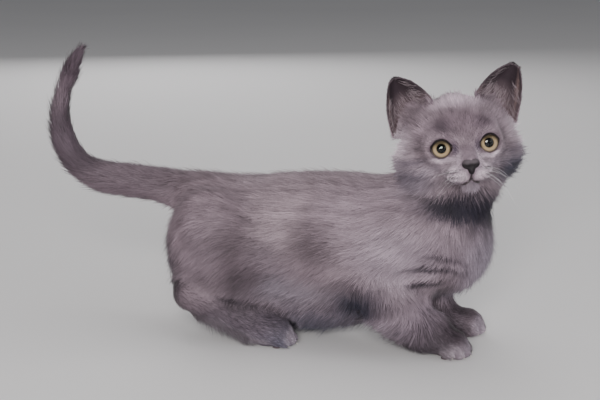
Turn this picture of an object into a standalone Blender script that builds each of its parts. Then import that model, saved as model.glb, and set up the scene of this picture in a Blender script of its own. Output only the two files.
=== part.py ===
"""A life-size munchkin kitten with a short grey coat, standing side on with its head turned.

Sizes are in millimetres and reach the tips of the coat. The objects themselves are in metres, +Z up.
+X runs along the back towards the chest, +Y is the kitten's left, and the floor is at z = 0.
Each form is a field: a function that gives the distance from points to a surface, negative inside.
Fields melt into one another and are surfaced on a grid, and thin cuts then part the body into nodes.
"""

import math

import bmesh
import bpy
import numpy as np
import openvdb
from mathutils import Matrix, Vector

MM = 0.001
GAP = 0.3  # between two nodes that touch
LEFT, RIGHT = 1, -1
SIDES = ((LEFT, "left"), (RIGHT, "right"))

# Torso: x, top of the back, underside and half width of each section, from rump to chest
TORSO = np.array(
    [
        (-48, 94.0, 24.0, 33.0),
        (-28, 94.0, 12.0, 36.0),
        (-5, 96.5, 6.5, 39.5),
        (20, 98.0, 6.5, 40.5),
        (45, 97.5, 12.0, 39.0),
        (68, 95.0, 22.0, 36.0),
        (86, 90.0, 31.0, 34.0),
    ]
)
RUMP_REACH, CHEST_REACH = 25, 26.5  # how far the round ends go past the first and last section
SHOULDER = dict(at=(64, 26, 56), radii=(25, 14, 30))
HAUNCH = dict(at=(-44, 24, 53), radii=(30.5, 17, 33), turn=13)
SHANK = dict(knee=(-30, 24, 33), hock=(-55, 24, 30), knee_r=14, hock_r=11.5)

# Tail: x, z and radius along its middle line, from the root to the tip
TAIL = np.array(
    [
        (-62, 80.0, 14.5),
        (-82, 84.0, 11.8),
        (-100, 85.8, 11.2),
        (-118, 87.5, 10.8),
        (-131, 91.7, 9.7),
        (-140, 99.5, 9.1),
        (-145.5, 110, 8.6),
        (-147.3, 123, 7.4),
        (-145.3, 136, 6.4),
        (-141.0, 148, 5.2),
        (-136.2, 158, 3.8),
        (-132.8, 164.0, 2.2),
    ]
)
TAIL_STEPS = 34

# Legs. A heading is in degrees to the kitten's left
FORELEGS = {
    RIGHT: dict(elbow=(58, 29, 33), wrist=(78, 22, 14), wrist_r=13.5, paw=(88.5, 21.5), heading=-31),
    LEFT: dict(elbow=(69, 26, 39), wrist=(80, 20, 11), wrist_r=9.8, paw=(90, 20), heading=4),
}
ELBOW_R = 16.5
FOREPAW = (16.0, 11.5, 8.8)  # radii
HINDLEGS = {
    RIGHT: dict(heel=(-57.5, 29.5, 28), ball=(-12, 27.5), heading=5),
    LEFT: dict(heel=(-54, 29.5, 28), ball=(-8.5, 27.5), heading=-5),
}
HEEL_R, INSTEP_R = 10.5, 9.4
HINDPAW = (15, 10.2, 9.0)
TOE = (6.4, 3.9, 5.0)
TOE_LEADS = (7.5, 11.0, 11.0, 7.5)  # how far each toe stands in front of the paw's middle
TOE_STEP, TOE_FAN = 4.9, 9  # across the paw from toe to toe, and the degrees between them
SOLE_SINK = 0.9  # how far the pads reach under the floor before the soles are cut flat

# The head's own frame has x out of the face, y to its left and z up
HEAD_AT = (92.2, -10.7, 117)
HEAD_YAW, HEAD_PITCH, HEAD_ROLL = -72, 5, 6.6
NECK = dict(low=(70, 0, 67), low_r=28, high=(91, -4, 99), high_r=25)

# Masses of the head: middle and radii, those off the middle plane being pairs
CRANIUM = ((-2, 0, 4.7), (28, 31, 25.6))
CHEEK = ((-1, 16.5, -5), (20, 19.2, 18.5))
JAW = ((5, 0, -10), (19, 20, 13))
BROW = ((17, 11.5, 10), (8.5, 8.5, 5.5))
MUZZLE = ((22, 0, -10.5), (13, 13, 8))
WHISKER_PAD = ((27.6, 5.4, -12.2), (7.6, 6.6, 5.4))
CHIN = ((25, 0, -17.4), (7.2, 6.4, 4.2))
BRIDGE = dict(top=(20, 0, 5), tip=(31.5, 0, -5.2), top_r=8.5, tip_r=4.8)

NOSE_AT = (34.2, 0, -7.8)
NOSE_WING = ((0, 2.1, 1.1), (3.2, 2.7, 2.6))  # from the nose's middle
NOSE_FOOT = ((0.4, 0, -2.2), (2.5, 1.8, 2.4))
NOSE_TOP = ((-0.8, 0, 2.0), (3.0, 3.2, 1.8))
NOSTRIL = dict(inner=(3.2, 1.9, -0.5), outer=(1.8, 4.1, 0.3), inner_r=0.85, outer_r=0.7)

CLEFT = ((0, -11.2), (0, -12.7), (0, -14.3), (0, -15.8))  # y and z down from the nose
LIPS = ((0, -15.4), (2.0, -16.9), (4.6, -18.0), (7.4, -17.9), (9.8, -16.6))
GROOVE_R, GROOVE_SINK = 0.75, 0.35

EYE_AT, EYE_R = (17.4, 12.0, 2.0), 8.6
EYE_OUT = 9  # degrees that the opening turns outwards
LID = 0.9
CORNEA_R, CORNEA_LEAD = 6.6, 2.5
OPENING = (5.1, 4.9)  # half width and half height
OPENING_POINT, OPENING_SLANT = 0.12, 0.8  # how far the corners run out and how far they tilt
OPENING_DEPTHS = ((3.0, 0.95), (14.6, 1.12))  # depth and flare of the cutter's two ends
OPENING_STEPS = 32

# Each ear is a sheet between three lines, each a curve with a start, a pull and an end
EAR = dict(
    inner=[(5, 11.5, 27), (5, 20, 39.5), (3, 30.0, 40.8)],
    back=[(-11, 25, 19), (-9.5, 31, 35), (-1.0, 33.2, 41.4)],
    outer=[(-4, 34.5, 8), (3, 39.5, 26), (2, 36.2, 38.0)],
)
EAR_LEAN = 2.0  # how far both tips stand over to the left
EAR_FOOT, EAR_SUNK = (-3, 17, 6), -0.6  # where the sheet heads for inside the skull, and how far
EAR_THICK, EAR_RIM = 2.8, 1.3
EAR_COLUMNS, EAR_ROWS, EAR_FOOT_ROWS = 11, 8, 2

# How softly the forms melt together
BODY_MELT, NECK_MELT, TAIL_MELT, HEAD_MELT, LEG_MELT = 14, 16, 9, 10, 8
THIGH_MELT, FOREPAW_MELT, HINDPAW_MELT, TOE_MELT, TOE_PARTING = 12, 7, 5, 2.5, 1.2
SKULL_MELT, FACE_MELT, LIP_MELT, LIP_PARTING, LID_MELT = 9, 6, 2.5, 1.2, 3.0
NOSE_MELT, NOSTRIL_MELT = 1.6, 0.5

# Where each form is surfaced, on what grid, and with how many triangles before it is cut
TORSO_GRID = dict(low=(-92, -50, -4), high=(124, 50, 132), voxel=3.2, triangles=3000)
HEAD_GRID = dict(low=(38, -62, 72), high=(128, 42, 158), voxel=1.25, triangles=2700)
TAIL_GRID = dict(low=(-162, -16, 60), high=(-70, 16, 172), voxel=2.0, triangles=1300)
FORELEG_GRIDS = {
    RIGHT: dict(low=(36, -48, -6), high=(124, 3, 76), voxel=1.7, triangles=1500),
    LEFT: dict(low=(36, -3, -6), high=(124, 48, 76), voxel=1.7, triangles=1500),
}
HINDFOOT_GRIDS = {
    RIGHT: dict(low=(-76, -45, -6), high=(12, -5, 48), voxel=1.6, triangles=660),
    LEFT: dict(low=(-72, 5, -6), high=(16, 45, 48), voxel=1.6, triangles=660),
}
NOSE_REACH, NOSE_VOXEL, NOSE_TRIANGLES = 9, 0.55, 280

# Cuts. Each plane is a place on it and its normal, which points out of the node that it bounds
NECK_PLANES = [((80, 0, 89), (-0.32, 0, -0.947))]
HEAD_PLANES = [((87, -6, 99), (-0.42, 0.22, -0.88))]
TAIL_PLANES = [((-84, 0, 85), (1, 0, 0))]
TAIL_MIDDLE_PLANES = [((-131, 0, 91), (0.75, 0, -0.66))]
TAIL_TIP_PLANES = [((-147, 0, 128), (0.1, 0, -1))]
FORELEG_PLANES = [  # for the left one
    ((62, 26, 43), (-0.2, -0.5, 0.84)),
    ((0, 7, 0), (0, -1, 0)),
    ((45, 0, 24), (-1, 0, -0.3)),
]
THIGH_CUT = ((-49, 46, 44), (33, 28, 42))  # an ellipsoid's middle and radii
FLOOR_PLANES = [((0, 0, 0), (0, 0, 1))]
BLOCK_SIDE = 600

# Colours and roughness
GREY_COAT = ((0.19, 0.16, 0.18), 0.9)
EAR_SKIN = ((0.12, 0.09, 0.10), 0.8)
NOSE_SKIN = ((0.06, 0.045, 0.055), 0.55)
EYE_GOLD = ((0.42, 0.33, 0.16), 0.1)


def head_frame():
    """The head's place and turn, as a matrix in millimetres."""
    turn = (
        Matrix.Rotation(math.radians(HEAD_YAW), 4, "Z")
        @ Matrix.Rotation(math.radians(-HEAD_PITCH), 4, "Y")
        @ Matrix.Rotation(math.radians(HEAD_ROLL), 4, "X")
    )
    return Matrix.Translation(HEAD_AT) @ turn


HEAD = head_frame()


def mirrored(at, side):
    """The same place on the kitten's left or right, given the left one."""
    return (at[0], at[1] * side, at[2])


# Fields
def ellipsoid(points, at, radii, turn=0.0):
    """turn is in degrees about the vertical."""
    x, y, z = (points[..., k] - at[k] for k in range(3))
    c, s = math.cos(math.radians(turn)), math.sin(math.radians(turn))
    local = np.stack([x * c + y * s, y * c - x * s, z], axis=-1)
    radii = np.array(radii, float)
    reach = np.linalg.norm(local / radii, axis=-1)
    slope = np.linalg.norm(local / radii**2, axis=-1)
    return reach * (reach - 1) / np.maximum(slope, 1e-6)


def round_cone(points, a, b, radius_a, radius_b):
    """A rod with round ends whose radius changes evenly."""
    a, b = np.array(a, float), np.array(b, float)
    run = b - a
    share = np.clip((points - a) @ run / (run @ run), 0, 1)
    away = np.linalg.norm(points - a - share[..., None] * run, axis=-1)
    return away - (radius_a + (radius_b - radius_a) * share)


def melt(first, second, width):
    """The union of two fields, with a soft hollow of this width where they meet."""
    share = np.clip(0.5 + 0.5 * (second - first) / width, 0, 1)
    return second * (1 - share) + first * share - width * share * (1 - share)


def melted(fields, width):
    whole = fields[0]
    for field in fields[1:]:
        whole = melt(whole, field, width)
    return whole


def both(points, mass):
    """The same ellipsoid left and right."""
    at, radii = mass
    return np.minimum(
        ellipsoid(points, mirrored(at, LEFT), radii), ellipsoid(points, mirrored(at, RIGHT), radii)
    )


def smooth_between(x, stations, column):
    """One column of the stations at x, on a smooth curve through all of them."""
    xs, values = stations[:, 0], stations[:, column]
    slopes = np.gradient(values, xs)
    x = np.clip(x, xs[0], xs[-1])
    i = np.clip(np.searchsorted(xs, x) - 1, 0, len(xs) - 2)
    step = xs[i + 1] - xs[i]
    t = (x - xs[i]) / step
    return (
        values[i] * (1 + 2 * t) * (1 - t) ** 2
        + values[i + 1] * t * t * (3 - 2 * t)
        + slopes[i] * step * t * (1 - t) ** 2
        - slopes[i + 1] * step * t * t * (1 - t)
    )


def torso_field(points):
    x = points[..., 0]
    top, under, half_width = (smooth_between(x, TORSO, k) for k in (1, 2, 3))
    middle, half_height = (top + under) / 2, (top - under) / 2
    first, last = TORSO[0, 0], TORSO[-1, 0]
    past = np.where(x < first, (x - first) / RUMP_REACH, np.maximum(x - last, 0) / CHEST_REACH)
    across = points[..., 1] / half_width
    upright = (points[..., 2] - middle) / half_height
    reach = np.sqrt(past**2 + across**2 + upright**2)
    slope = np.sqrt((past / RUMP_REACH) ** 2 + (across / half_width) ** 2 + (upright / half_height) ** 2)
    return reach * (reach - 1) / np.maximum(slope, 1e-6)


def toes(points, middle, heading):
    """Four toes in an arc before a paw's middle."""
    ahead = np.array([math.cos(math.radians(heading)), math.sin(math.radians(heading))])
    aside = np.array([-ahead[1], ahead[0]])
    fields = []
    for number, lead in enumerate(TOE_LEADS):
        place = number - (len(TOE_LEADS) - 1) / 2
        x, y = np.array(middle[:2]) + ahead * lead + aside * place * TOE_STEP
        fields.append(ellipsoid(points, (x, y, TOE[2] - SOLE_SINK), TOE, heading + place * TOE_FAN))
    return melted(fields, TOE_PARTING)


def foreleg_field(points, side):
    leg = FORELEGS[side]
    elbow, wrist = mirrored(leg["elbow"], side), mirrored(leg["wrist"], side)
    paw_at = mirrored((*leg["paw"], FOREPAW[2] - SOLE_SINK), side)
    arm = round_cone(points, elbow, wrist, ELBOW_R, leg["wrist_r"])
    paw = ellipsoid(points, paw_at, FOREPAW, leg["heading"])
    return melt(melt(arm, paw, FOREPAW_MELT), toes(points, paw_at, leg["heading"]), TOE_MELT)


def hindfoot_field(points, side):
    leg = HINDLEGS[side]
    ball_at = mirrored((*leg["ball"], HINDPAW[2] - SOLE_SINK), side)
    shaft = round_cone(points, mirrored(leg["heel"], side), ball_at, HEEL_R, INSTEP_R)
    paw = ellipsoid(points, ball_at, HINDPAW, leg["heading"])
    return melt(melt(shaft, paw, HINDPAW_MELT), toes(points, ball_at, leg["heading"]), TOE_MELT)


def haunch_field(points, side):
    thigh = ellipsoid(points, mirrored(HAUNCH["at"], side), HAUNCH["radii"], HAUNCH["turn"] * side)
    knee, hock = mirrored(SHANK["knee"], side), mirrored(SHANK["hock"], side)
    return melt(thigh, round_cone(points, knee, hock, SHANK["knee_r"], SHANK["hock_r"]), THIGH_MELT)


def tail_field(points):
    stations = np.column_stack([np.arange(len(TAIL)), TAIL])
    at = np.linspace(0, len(TAIL) - 1, TAIL_STEPS)
    x, z, radius = (smooth_between(at, stations, k) for k in (1, 2, 3))
    runs = [
        round_cone(points, (x[i], 0, z[i]), (x[i + 1], 0, z[i + 1]), radius[i], radius[i + 1])
        for i in range(TAIL_STEPS - 1)
    ]
    return np.minimum.reduce(runs)


def skull_field(points):
    """The head without eyes, nose pad or ears, in its own frame."""
    cranium, jaw = ellipsoid(points, *CRANIUM), ellipsoid(points, *JAW)
    round_head = melted([cranium, both(points, CHEEK), jaw], SKULL_MELT)
    bridge = round_cone(points, BRIDGE["top"], BRIDGE["tip"], BRIDGE["top_r"], BRIDGE["tip_r"])
    face = melted([round_head, both(points, BROW), bridge, ellipsoid(points, *MUZZLE)], FACE_MELT)
    lips = melt(both(points, WHISKER_PAD), ellipsoid(points, *CHIN), LIP_PARTING)
    lids = both(points, (EYE_AT, (EYE_R + LID,) * 3))
    return melt(melt(face, lips, LIP_MELT), lids, LID_MELT)


def in_head(points):
    """Points in the head's own frame."""
    return (points - np.array(HEAD_AT, float)) @ np.array(HEAD.to_3x3())


def body_field(points):
    """Everything but the hind feet, the ears, the eyes and the nose pad."""
    masses = [torso_field(points)]
    for side, _ in SIDES:
        masses.append(ellipsoid(points, mirrored(SHOULDER["at"], side), SHOULDER["radii"]))
        masses.append(haunch_field(points, side))
    whole = melted(masses, BODY_MELT)
    neck = round_cone(points, NECK["low"], NECK["high"], NECK["low_r"], NECK["high_r"])
    whole = melt(whole, neck, NECK_MELT)
    whole = melt(whole, tail_field(points), TAIL_MELT)
    whole = melt(whole, skull_field(in_head(points)), HEAD_MELT)
    for side, _ in SIDES:
        whole = melt(whole, foreleg_field(points, side), LEG_MELT)
    return whole


def nose_field(points):
    """The nose pad, wide above and drawn in below, with two nostrils."""
    local = in_head(points) - np.array(NOSE_AT, float)
    foot, top = ellipsoid(local, *NOSE_FOOT), ellipsoid(local, *NOSE_TOP)
    pad = melted([both(local, NOSE_WING), foot, top], NOSE_MELT)
    nostrils = [
        round_cone(
            local,
            mirrored(NOSTRIL["inner"], side),
            mirrored(NOSTRIL["outer"], side),
            NOSTRIL["inner_r"],
            NOSTRIL["outer_r"],
        )
        for side, _ in SIDES
    ]
    return -melt(-pad, np.minimum(*nostrils), NOSTRIL_MELT)


# Meshes
def remove(*objects):
    for obj in objects:
        bpy.data.objects.remove(obj)


def new_object(name, data):
    obj = bpy.data.objects.new(name, data)
    bpy.context.scene.collection.objects.link(obj)
    return obj


def copy_of(obj, name):
    return new_object(name, obj.data.copy())


def object_from(shape, name, matrix):
    """Turns a bmesh in millimetres into an object, placed by the matrix."""
    bmesh.ops.recalc_face_normals(shape, faces=shape.faces)
    bmesh.ops.transform(shape, verts=shape.verts, matrix=Matrix.Scale(MM, 4) @ matrix)
    mesh = bpy.data.meshes.new(name)
    shape.to_mesh(mesh)
    shape.free()
    return new_object(name, mesh)


def apply_modifiers(obj):
    graph = bpy.context.evaluated_depsgraph_get()
    old = obj.data
    obj.data = bpy.data.meshes.new_from_object(obj.evaluated_get(graph))
    obj.modifiers.clear()
    bpy.data.meshes.remove(old)
    return obj


def keep_largest(obj):
    """Drops all but the largest closed surface."""
    shape = bmesh.new()
    shape.from_mesh(obj.data)
    bmesh.ops.remove_doubles(shape, verts=shape.verts, dist=1e-7)
    unseen, parts = set(shape.verts), []
    while unseen:
        part, front = set(), [next(iter(unseen))]
        while front:
            vert = front.pop()
            if vert not in part:
                part.add(vert)
                front.extend(edge.other_vert(vert) for edge in vert.link_edges)
        unseen -= part
        parts.append(part)
    largest = max(parts, key=len)
    bmesh.ops.delete(shape, geom=[vert for vert in shape.verts if vert not in largest])
    bmesh.ops.recalc_face_normals(shape, faces=shape.faces)
    shape.to_mesh(obj.data)
    shape.free()
    return obj


def surfaced(name, field, low, high, voxel, triangles):
    """A mesh of the field's surface inside a box, closed where the box ends, then thinned."""
    low, high = np.array(low, float), np.array(high, float)
    counts = np.ceil((high - low) / voxel).astype(int) + 1
    axes = [low[k] + voxel * np.arange(counts[k]) for k in range(3)]
    values = field(np.stack(np.meshgrid(*axes, indexing="ij"), axis=-1))
    for k in range(3):
        for end in (0, -1):
            face = tuple(end if axis == k else slice(None) for axis in range(3))
            values[face] = np.maximum(values[face], voxel / 2)
    grid = openvdb.FloatGrid(background=3 * voxel)
    grid.copyFromArray(np.ascontiguousarray(values, np.float32))
    points, quads = grid.convertToQuads(0.0)
    mesh = bpy.data.meshes.new(name)
    mesh.from_pydata(((points * voxel + low) * MM).tolist(), [], quads[:, ::-1].tolist())
    obj = keep_largest(new_object(name, mesh))
    modifier = obj.modifiers.new("thin", "DECIMATE")
    modifier.ratio = triangles / (2 * len(obj.data.polygons))
    modifier.use_collapse_triangulate = True
    return apply_modifiers(obj)


def carve(obj, cutter, operation="DIFFERENCE"):
    modifier = obj.modifiers.new("cut", "BOOLEAN")
    modifier.operation = operation
    modifier.solver = "EXACT"
    modifier.object = cutter
    return apply_modifiers(obj)


def block_within(planes, grow):
    """A convex block bounded by planes, each moved out by this much."""
    shape = bmesh.new()
    bmesh.ops.create_cube(shape, size=BLOCK_SIDE)
    for at, normal in planes:
        normal = Vector(normal).normalized()
        cut = bmesh.ops.bisect_plane(
            shape,
            geom=[*shape.verts, *shape.edges, *shape.faces],
            plane_co=Vector(at) + normal * grow,
            plane_no=normal,
            clear_outer=True,
        )
        rim = [part for part in cut["geom_cut"] if isinstance(part, bmesh.types.BMEdge)]
        bmesh.ops.edgenet_fill(shape, edges=rim)
    return object_from(shape, "block", Matrix.Identity(4))


def keep_inside(obj, planes):
    """Keeps what lies inside the planes, half a gap short of them."""
    keeper = block_within(planes, -GAP / 2)
    carve(obj, keeper, "INTERSECT")
    remove(keeper)
    return keep_largest(obj)


def cut_away(obj, planes, grow=GAP / 2):
    """Cuts away what lies inside the planes, and half a gap more."""
    cutter = block_within(planes, grow)
    carve(obj, cutter)
    remove(cutter)
    return keep_largest(obj)


def ball(at, radii, matrix, rings):
    """A closed ellipsoid with rings from pole to pole."""
    shape = bmesh.new()
    bmesh.ops.create_uvsphere(shape, u_segments=2 * rings, v_segments=rings, radius=1)
    return object_from(shape, "ball", matrix @ Matrix.Translation(at) @ Matrix.Diagonal((*radii, 1)))


def clear_for(others, obj):
    """Cuts the others clear of obj by the gap."""
    room = copy_of(obj, "room")
    modifier = room.modifiers.new("grow", "DISPLACE")
    modifier.mid_level = 0
    modifier.strength = GAP * MM
    apply_modifiers(room)
    for other in others:
        carve(other, room)
        keep_largest(other)
    remove(room)


# Nodes
def eye_frame(side):
    """The frame of one eye, with x out through the middle of its opening."""
    turn = Matrix.Rotation(math.radians(EYE_OUT * side), 4, "Z")
    return HEAD @ Matrix.Translation(mirrored(EYE_AT, side)) @ turn


def lid_cutter(side):
    """Opens the lids with an oval that runs to a point at the nose and at the temple."""
    shape = bmesh.new()
    rings = []
    for depth, flare in OPENING_DEPTHS:
        ring = []
        for angle in np.arange(OPENING_STEPS) * 2 * math.pi / OPENING_STEPS:
            corner = abs(math.cos(angle)) ** 14
            y = math.cos(angle) * OPENING[0] * (1 + OPENING_POINT * corner)
            z = math.sin(angle) * OPENING[1] + OPENING_SLANT * corner * np.sign(math.cos(angle)) * side
            ring.append(shape.verts.new((depth, y * flare, z * flare)))
        rings.append(ring)
        shape.faces.new(ring)
    low, high = rings
    for k in range(OPENING_STEPS):
        shape.faces.new((low[k - 1], low[k], high[k], high[k - 1]))
    return object_from(shape, "opening", eye_frame(side))


def set_eye(head, side, name):
    """Cuts the socket and the lids' opening, and sets the eyeball with its clear bulge."""
    frame = eye_frame(side)
    for cutter in (ball((0, 0, 0), (EYE_R + GAP,) * 3, frame, 16), lid_cutter(side)):
        carve(head, cutter)
        remove(cutter)
    eye = ball((0, 0, 0), (EYE_R,) * 3, frame, 9)
    eye.name = name
    cornea = ball((CORNEA_LEAD, 0, 0), (CORNEA_R,) * 3, frame, 9)
    carve(eye, cornea, "UNION")
    remove(cornea)
    return eye


def on_face(y, z):
    """The place just under the face's surface at this y and z, in the head's own frame."""
    inside, outside = 0.0, 60.0
    for _ in range(30):
        x = (inside + outside) / 2
        if skull_field(np.array([[x, y, z]], float))[0] > 0:
            outside = x
        else:
            inside = x
    return (inside - GROOVE_SINK, y, z)


def cut_groove(head, line):
    """Cuts a line into the face along places given by y and z."""
    curve = bpy.data.curves.new("groove", "CURVE")
    curve.dimensions = "3D"
    curve.bevel_depth = GROOVE_R * MM
    curve.bevel_resolution = 1
    curve.use_fill_caps = True
    spline = curve.splines.new("POLY")
    spline.points.add(len(line) - 1)
    for point, (y, z) in zip(spline.points, line):
        point.co = (*(HEAD @ Vector(on_face(y, z)) * MM), 1)
    guide = new_object("groove", curve)
    graph = bpy.context.evaluated_depsgraph_get()
    cutter = new_object("cutter", bpy.data.meshes.new_from_object(guide.evaluated_get(graph)))
    carve(head, keep_largest(cutter))
    remove(guide, cutter)


def make_head():
    """The head and what sits in it: the eyes and the nose pad."""
    head = keep_inside(surfaced("head", body_field, **HEAD_GRID), HEAD_PLANES)
    eyes = [set_eye(head, side, "eye_" + word) for side, word in SIDES]
    nose_at = np.array(HEAD @ Vector(NOSE_AT))
    nose = surfaced(
        "nose_pad", nose_field, nose_at - NOSE_REACH, nose_at + NOSE_REACH, NOSE_VOXEL, NOSE_TRIANGLES
    )
    clear_for([head], nose)
    cut_groove(head, CLEFT)
    for side, _ in SIDES:
        cut_groove(head, [(y * side, z) for y, z in LIPS])
    return keep_largest(head), eyes, nose


def along(line, share):
    """A place on a curve given by its start, its pull and its end."""
    start, pull, end = (np.array(place, float) for place in line)
    return start * (1 - share) ** 2 + 2 * pull * share * (1 - share) + end * share**2


def ear_sheet(across, up, side):
    """A point of an ear's middle sheet, across from -1 at the inner edge and up from 0 at the base."""
    inner, back, outer = (along(EAR[line], max(up, 0)) for line in ("inner", "back", "outer"))
    point = inner * across * (across - 1) / 2 + back * (1 - across**2) + outer * across * (across + 1) / 2
    point += (np.array(EAR_FOOT) - point) * max(-up, 0)
    return np.array(mirrored(point, side)) + (0, EAR_LEAN * max(up, 0) ** 1.5, 0)


def ear_point(across, up, side, layer):
    """A point of the ear's front or back surface, for layer 1 or -1."""
    step = 0.01
    du = ear_sheet(across + step, up, side) - ear_sheet(across - step, up, side)
    dv = ear_sheet(across, up + step, side) - ear_sheet(across, up - step, side)
    normal = np.cross(du, dv)
    thick = EAR_RIM + (EAR_THICK - EAR_RIM) * (1 - across**4) * (1 - max(up, 0) ** 3)
    return ear_sheet(across, up, side) + normal / np.linalg.norm(normal) * layer * thick / 2


def make_ear(side, name):
    """A cup of skin and fur, open to the front, whose foot is sunk in the skull."""
    ups = [*np.linspace(EAR_SUNK, 0, EAR_FOOT_ROWS + 1)[:-1], *np.linspace(0, 1, EAR_ROWS)]
    acrosses = np.linspace(-1, 1, EAR_COLUMNS)
    shape = bmesh.new()
    rims = []
    for layer in (1, -1):
        grid = [[shape.verts.new(ear_point(a, up, side, layer)) for a in acrosses] for up in ups]
        for low, high in zip(grid, grid[1:]):
            for i in range(EAR_COLUMNS - 1):
                shape.faces.new((low[i], low[i + 1], high[i + 1], high[i]))
        outer, inner = [row[-1] for row in grid[1:]], [row[0] for row in grid[-2:0:-1]]
        rims.append([*grid[0], *outer, *grid[-1][-2::-1], *inner])
    front, back = rims
    for k in range(len(front)):
        shape.faces.new((front[k - 1], front[k], back[k], back[k - 1]))
    bmesh.ops.triangulate(shape, faces=shape.faces)
    return object_from(shape, name, HEAD)


def make_tail(torso):
    """The tail in three lengths. The torso is cut clear of them."""
    root = keep_inside(surfaced("tail_root", body_field, **TAIL_GRID), TAIL_PLANES)
    cut_away(torso, TAIL_PLANES)
    middle = keep_inside(copy_of(root, "tail_middle"), TAIL_MIDDLE_PLANES)
    cut_away(root, TAIL_MIDDLE_PLANES)
    tip = keep_inside(copy_of(middle, "tail_tip"), TAIL_TIP_PLANES)
    cut_away(middle, TAIL_TIP_PLANES)
    return root, middle, tip


def make_foreleg(torso, side, word):
    """The foreleg and its paw, parted square to the forearm. The torso is cut clear of them."""
    planes = [(mirrored(at, side), mirrored(normal, side)) for at, normal in FORELEG_PLANES]
    leg = keep_inside(surfaced("foreleg_" + word, body_field, **FORELEG_GRIDS[side]), planes)
    cut_away(leg, FLOOR_PLANES, 0)
    cut_away(torso, planes)
    elbow, wrist = (Vector(mirrored(FORELEGS[side][joint], side)) for joint in ("elbow", "wrist"))
    paw = keep_inside(copy_of(leg, "forepaw_" + word), [(wrist, elbow - wrist)])
    cut_away(leg, [(wrist, elbow - wrist)])
    return leg, paw


def make_hindleg(torso, side, word):
    """The foot, and the thigh with its shank, which an oval cut parts from the torso."""
    foot = surfaced("hindfoot_" + word, lambda points: hindfoot_field(points, side), **HINDFOOT_GRIDS[side])
    cut_away(foot, FLOOR_PLANES, 0)
    thigh = copy_of(torso, "thigh_" + word)
    at, radii = THIGH_CUT
    for obj, operation, grow in ((thigh, "INTERSECT", -GAP / 2), (torso, "DIFFERENCE", GAP / 2)):
        cutter = ball(mirrored(at, side), [radius + grow for radius in radii], Matrix.Identity(4), 16)
        carve(obj, cutter, operation)
        remove(cutter)
        keep_largest(obj)
    clear_for([thigh, torso], foot)
    return thigh, foot


# Finish
def paint(obj, look):
    """Gives the object its own material."""
    colour, roughness = look
    material = bpy.data.materials.new(obj.name)
    material.use_nodes = True
    shader = material.node_tree.nodes["Principled BSDF"]
    shader.inputs["Base Color"].default_value = (*colour, 1)
    shader.inputs["Roughness"].default_value = roughness
    shader.inputs["Metallic"].default_value = 0
    obj.data.materials.clear()
    obj.data.materials.append(material)
    obj.data.shade_smooth()
    obj.data.set_sharp_from_angle(angle=math.radians(50))


def settle(objects):
    """Puts the middle of the whole box's floor on the origin, and each object's origin at its middle."""
    corners = np.array([vert.co[:] for obj in objects for vert in obj.data.vertices])
    low, high = corners.min(axis=0), corners.max(axis=0)
    base = new_object("kitten", None)
    for obj in objects:
        own = np.array([vert.co[:] for vert in obj.data.vertices])
        middle = Vector((own.min(axis=0) + own.max(axis=0)) / 2)
        obj.data.transform(Matrix.Translation(-middle))
        obj.location = middle - Vector(((low[0] + high[0]) / 2, (low[1] + high[1]) / 2, 0))
        obj.parent = base


def main():
    remove(*bpy.data.objects)
    torso = surfaced("torso", body_field, **TORSO_GRID)
    neck = keep_inside(copy_of(torso, "neck"), NECK_PLANES)
    cut_away(neck, HEAD_PLANES)
    cut_away(torso, NECK_PLANES)
    head, eyes, nose = make_head()
    ears = [make_ear(side, "ear_" + word) for side, word in SIDES]
    clear_for(ears, head)
    coated = [torso, neck, head, *make_tail(torso)]
    for side, word in SIDES:
        coated += make_hindleg(torso, side, word)
        coated += make_foreleg(torso, side, word)
    for objects, look in ((coated, GREY_COAT), (ears, EAR_SKIN), (eyes, EYE_GOLD), ([nose], NOSE_SKIN)):
        for obj in objects:
            paint(obj, look)
    settle([*coated, *ears, *eyes, nose])


main()
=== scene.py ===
"""The looks of the munchkin kitten: its skin, coat, eyes, nose, lids, whiskers, claws and pads.

Lengths are in millimetres in the kitten's own frame, as in the part's source, until a mesh is made.
The head's own frame has x out of the face, y to its left and z up.
Skin and coat are numpy arrays: the skin is the surface of a field on a lattice, and the coat is many
small closed tufts that stand on it and follow the lie of the hair.
"""

import math

import bpy
import numpy as np
import openvdb
from mathutils import Matrix, Vector
from mathutils.bvhtree import BVHTree
from mathutils.kdtree import KDTree


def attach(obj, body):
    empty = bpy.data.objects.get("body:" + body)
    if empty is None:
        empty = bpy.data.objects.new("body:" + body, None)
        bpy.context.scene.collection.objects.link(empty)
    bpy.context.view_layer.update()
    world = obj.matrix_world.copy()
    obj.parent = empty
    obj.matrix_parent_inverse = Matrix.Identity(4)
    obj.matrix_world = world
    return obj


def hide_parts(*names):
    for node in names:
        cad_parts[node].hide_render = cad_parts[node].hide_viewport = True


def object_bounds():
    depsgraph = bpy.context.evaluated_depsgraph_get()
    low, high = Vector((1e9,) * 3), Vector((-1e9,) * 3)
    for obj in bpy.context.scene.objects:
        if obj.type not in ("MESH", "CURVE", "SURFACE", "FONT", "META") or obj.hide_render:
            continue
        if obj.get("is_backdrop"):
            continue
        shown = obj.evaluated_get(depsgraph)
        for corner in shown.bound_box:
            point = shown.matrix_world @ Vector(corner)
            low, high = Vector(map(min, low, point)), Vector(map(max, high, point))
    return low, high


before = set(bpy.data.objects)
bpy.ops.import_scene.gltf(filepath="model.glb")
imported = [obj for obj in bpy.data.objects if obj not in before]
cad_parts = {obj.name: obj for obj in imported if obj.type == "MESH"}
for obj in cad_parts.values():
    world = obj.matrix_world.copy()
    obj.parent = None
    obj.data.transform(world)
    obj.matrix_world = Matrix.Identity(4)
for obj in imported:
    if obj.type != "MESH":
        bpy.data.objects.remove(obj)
cad_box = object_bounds()
random = np.random.default_rng(11)

MM = 0.001
SHIFT = np.array([13.64, 1.99, 0.0])  # from the kitten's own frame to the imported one
LEFT, RIGHT = 1, -1
SIDES = ((LEFT, "left"), (RIGHT, "right"))

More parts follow.
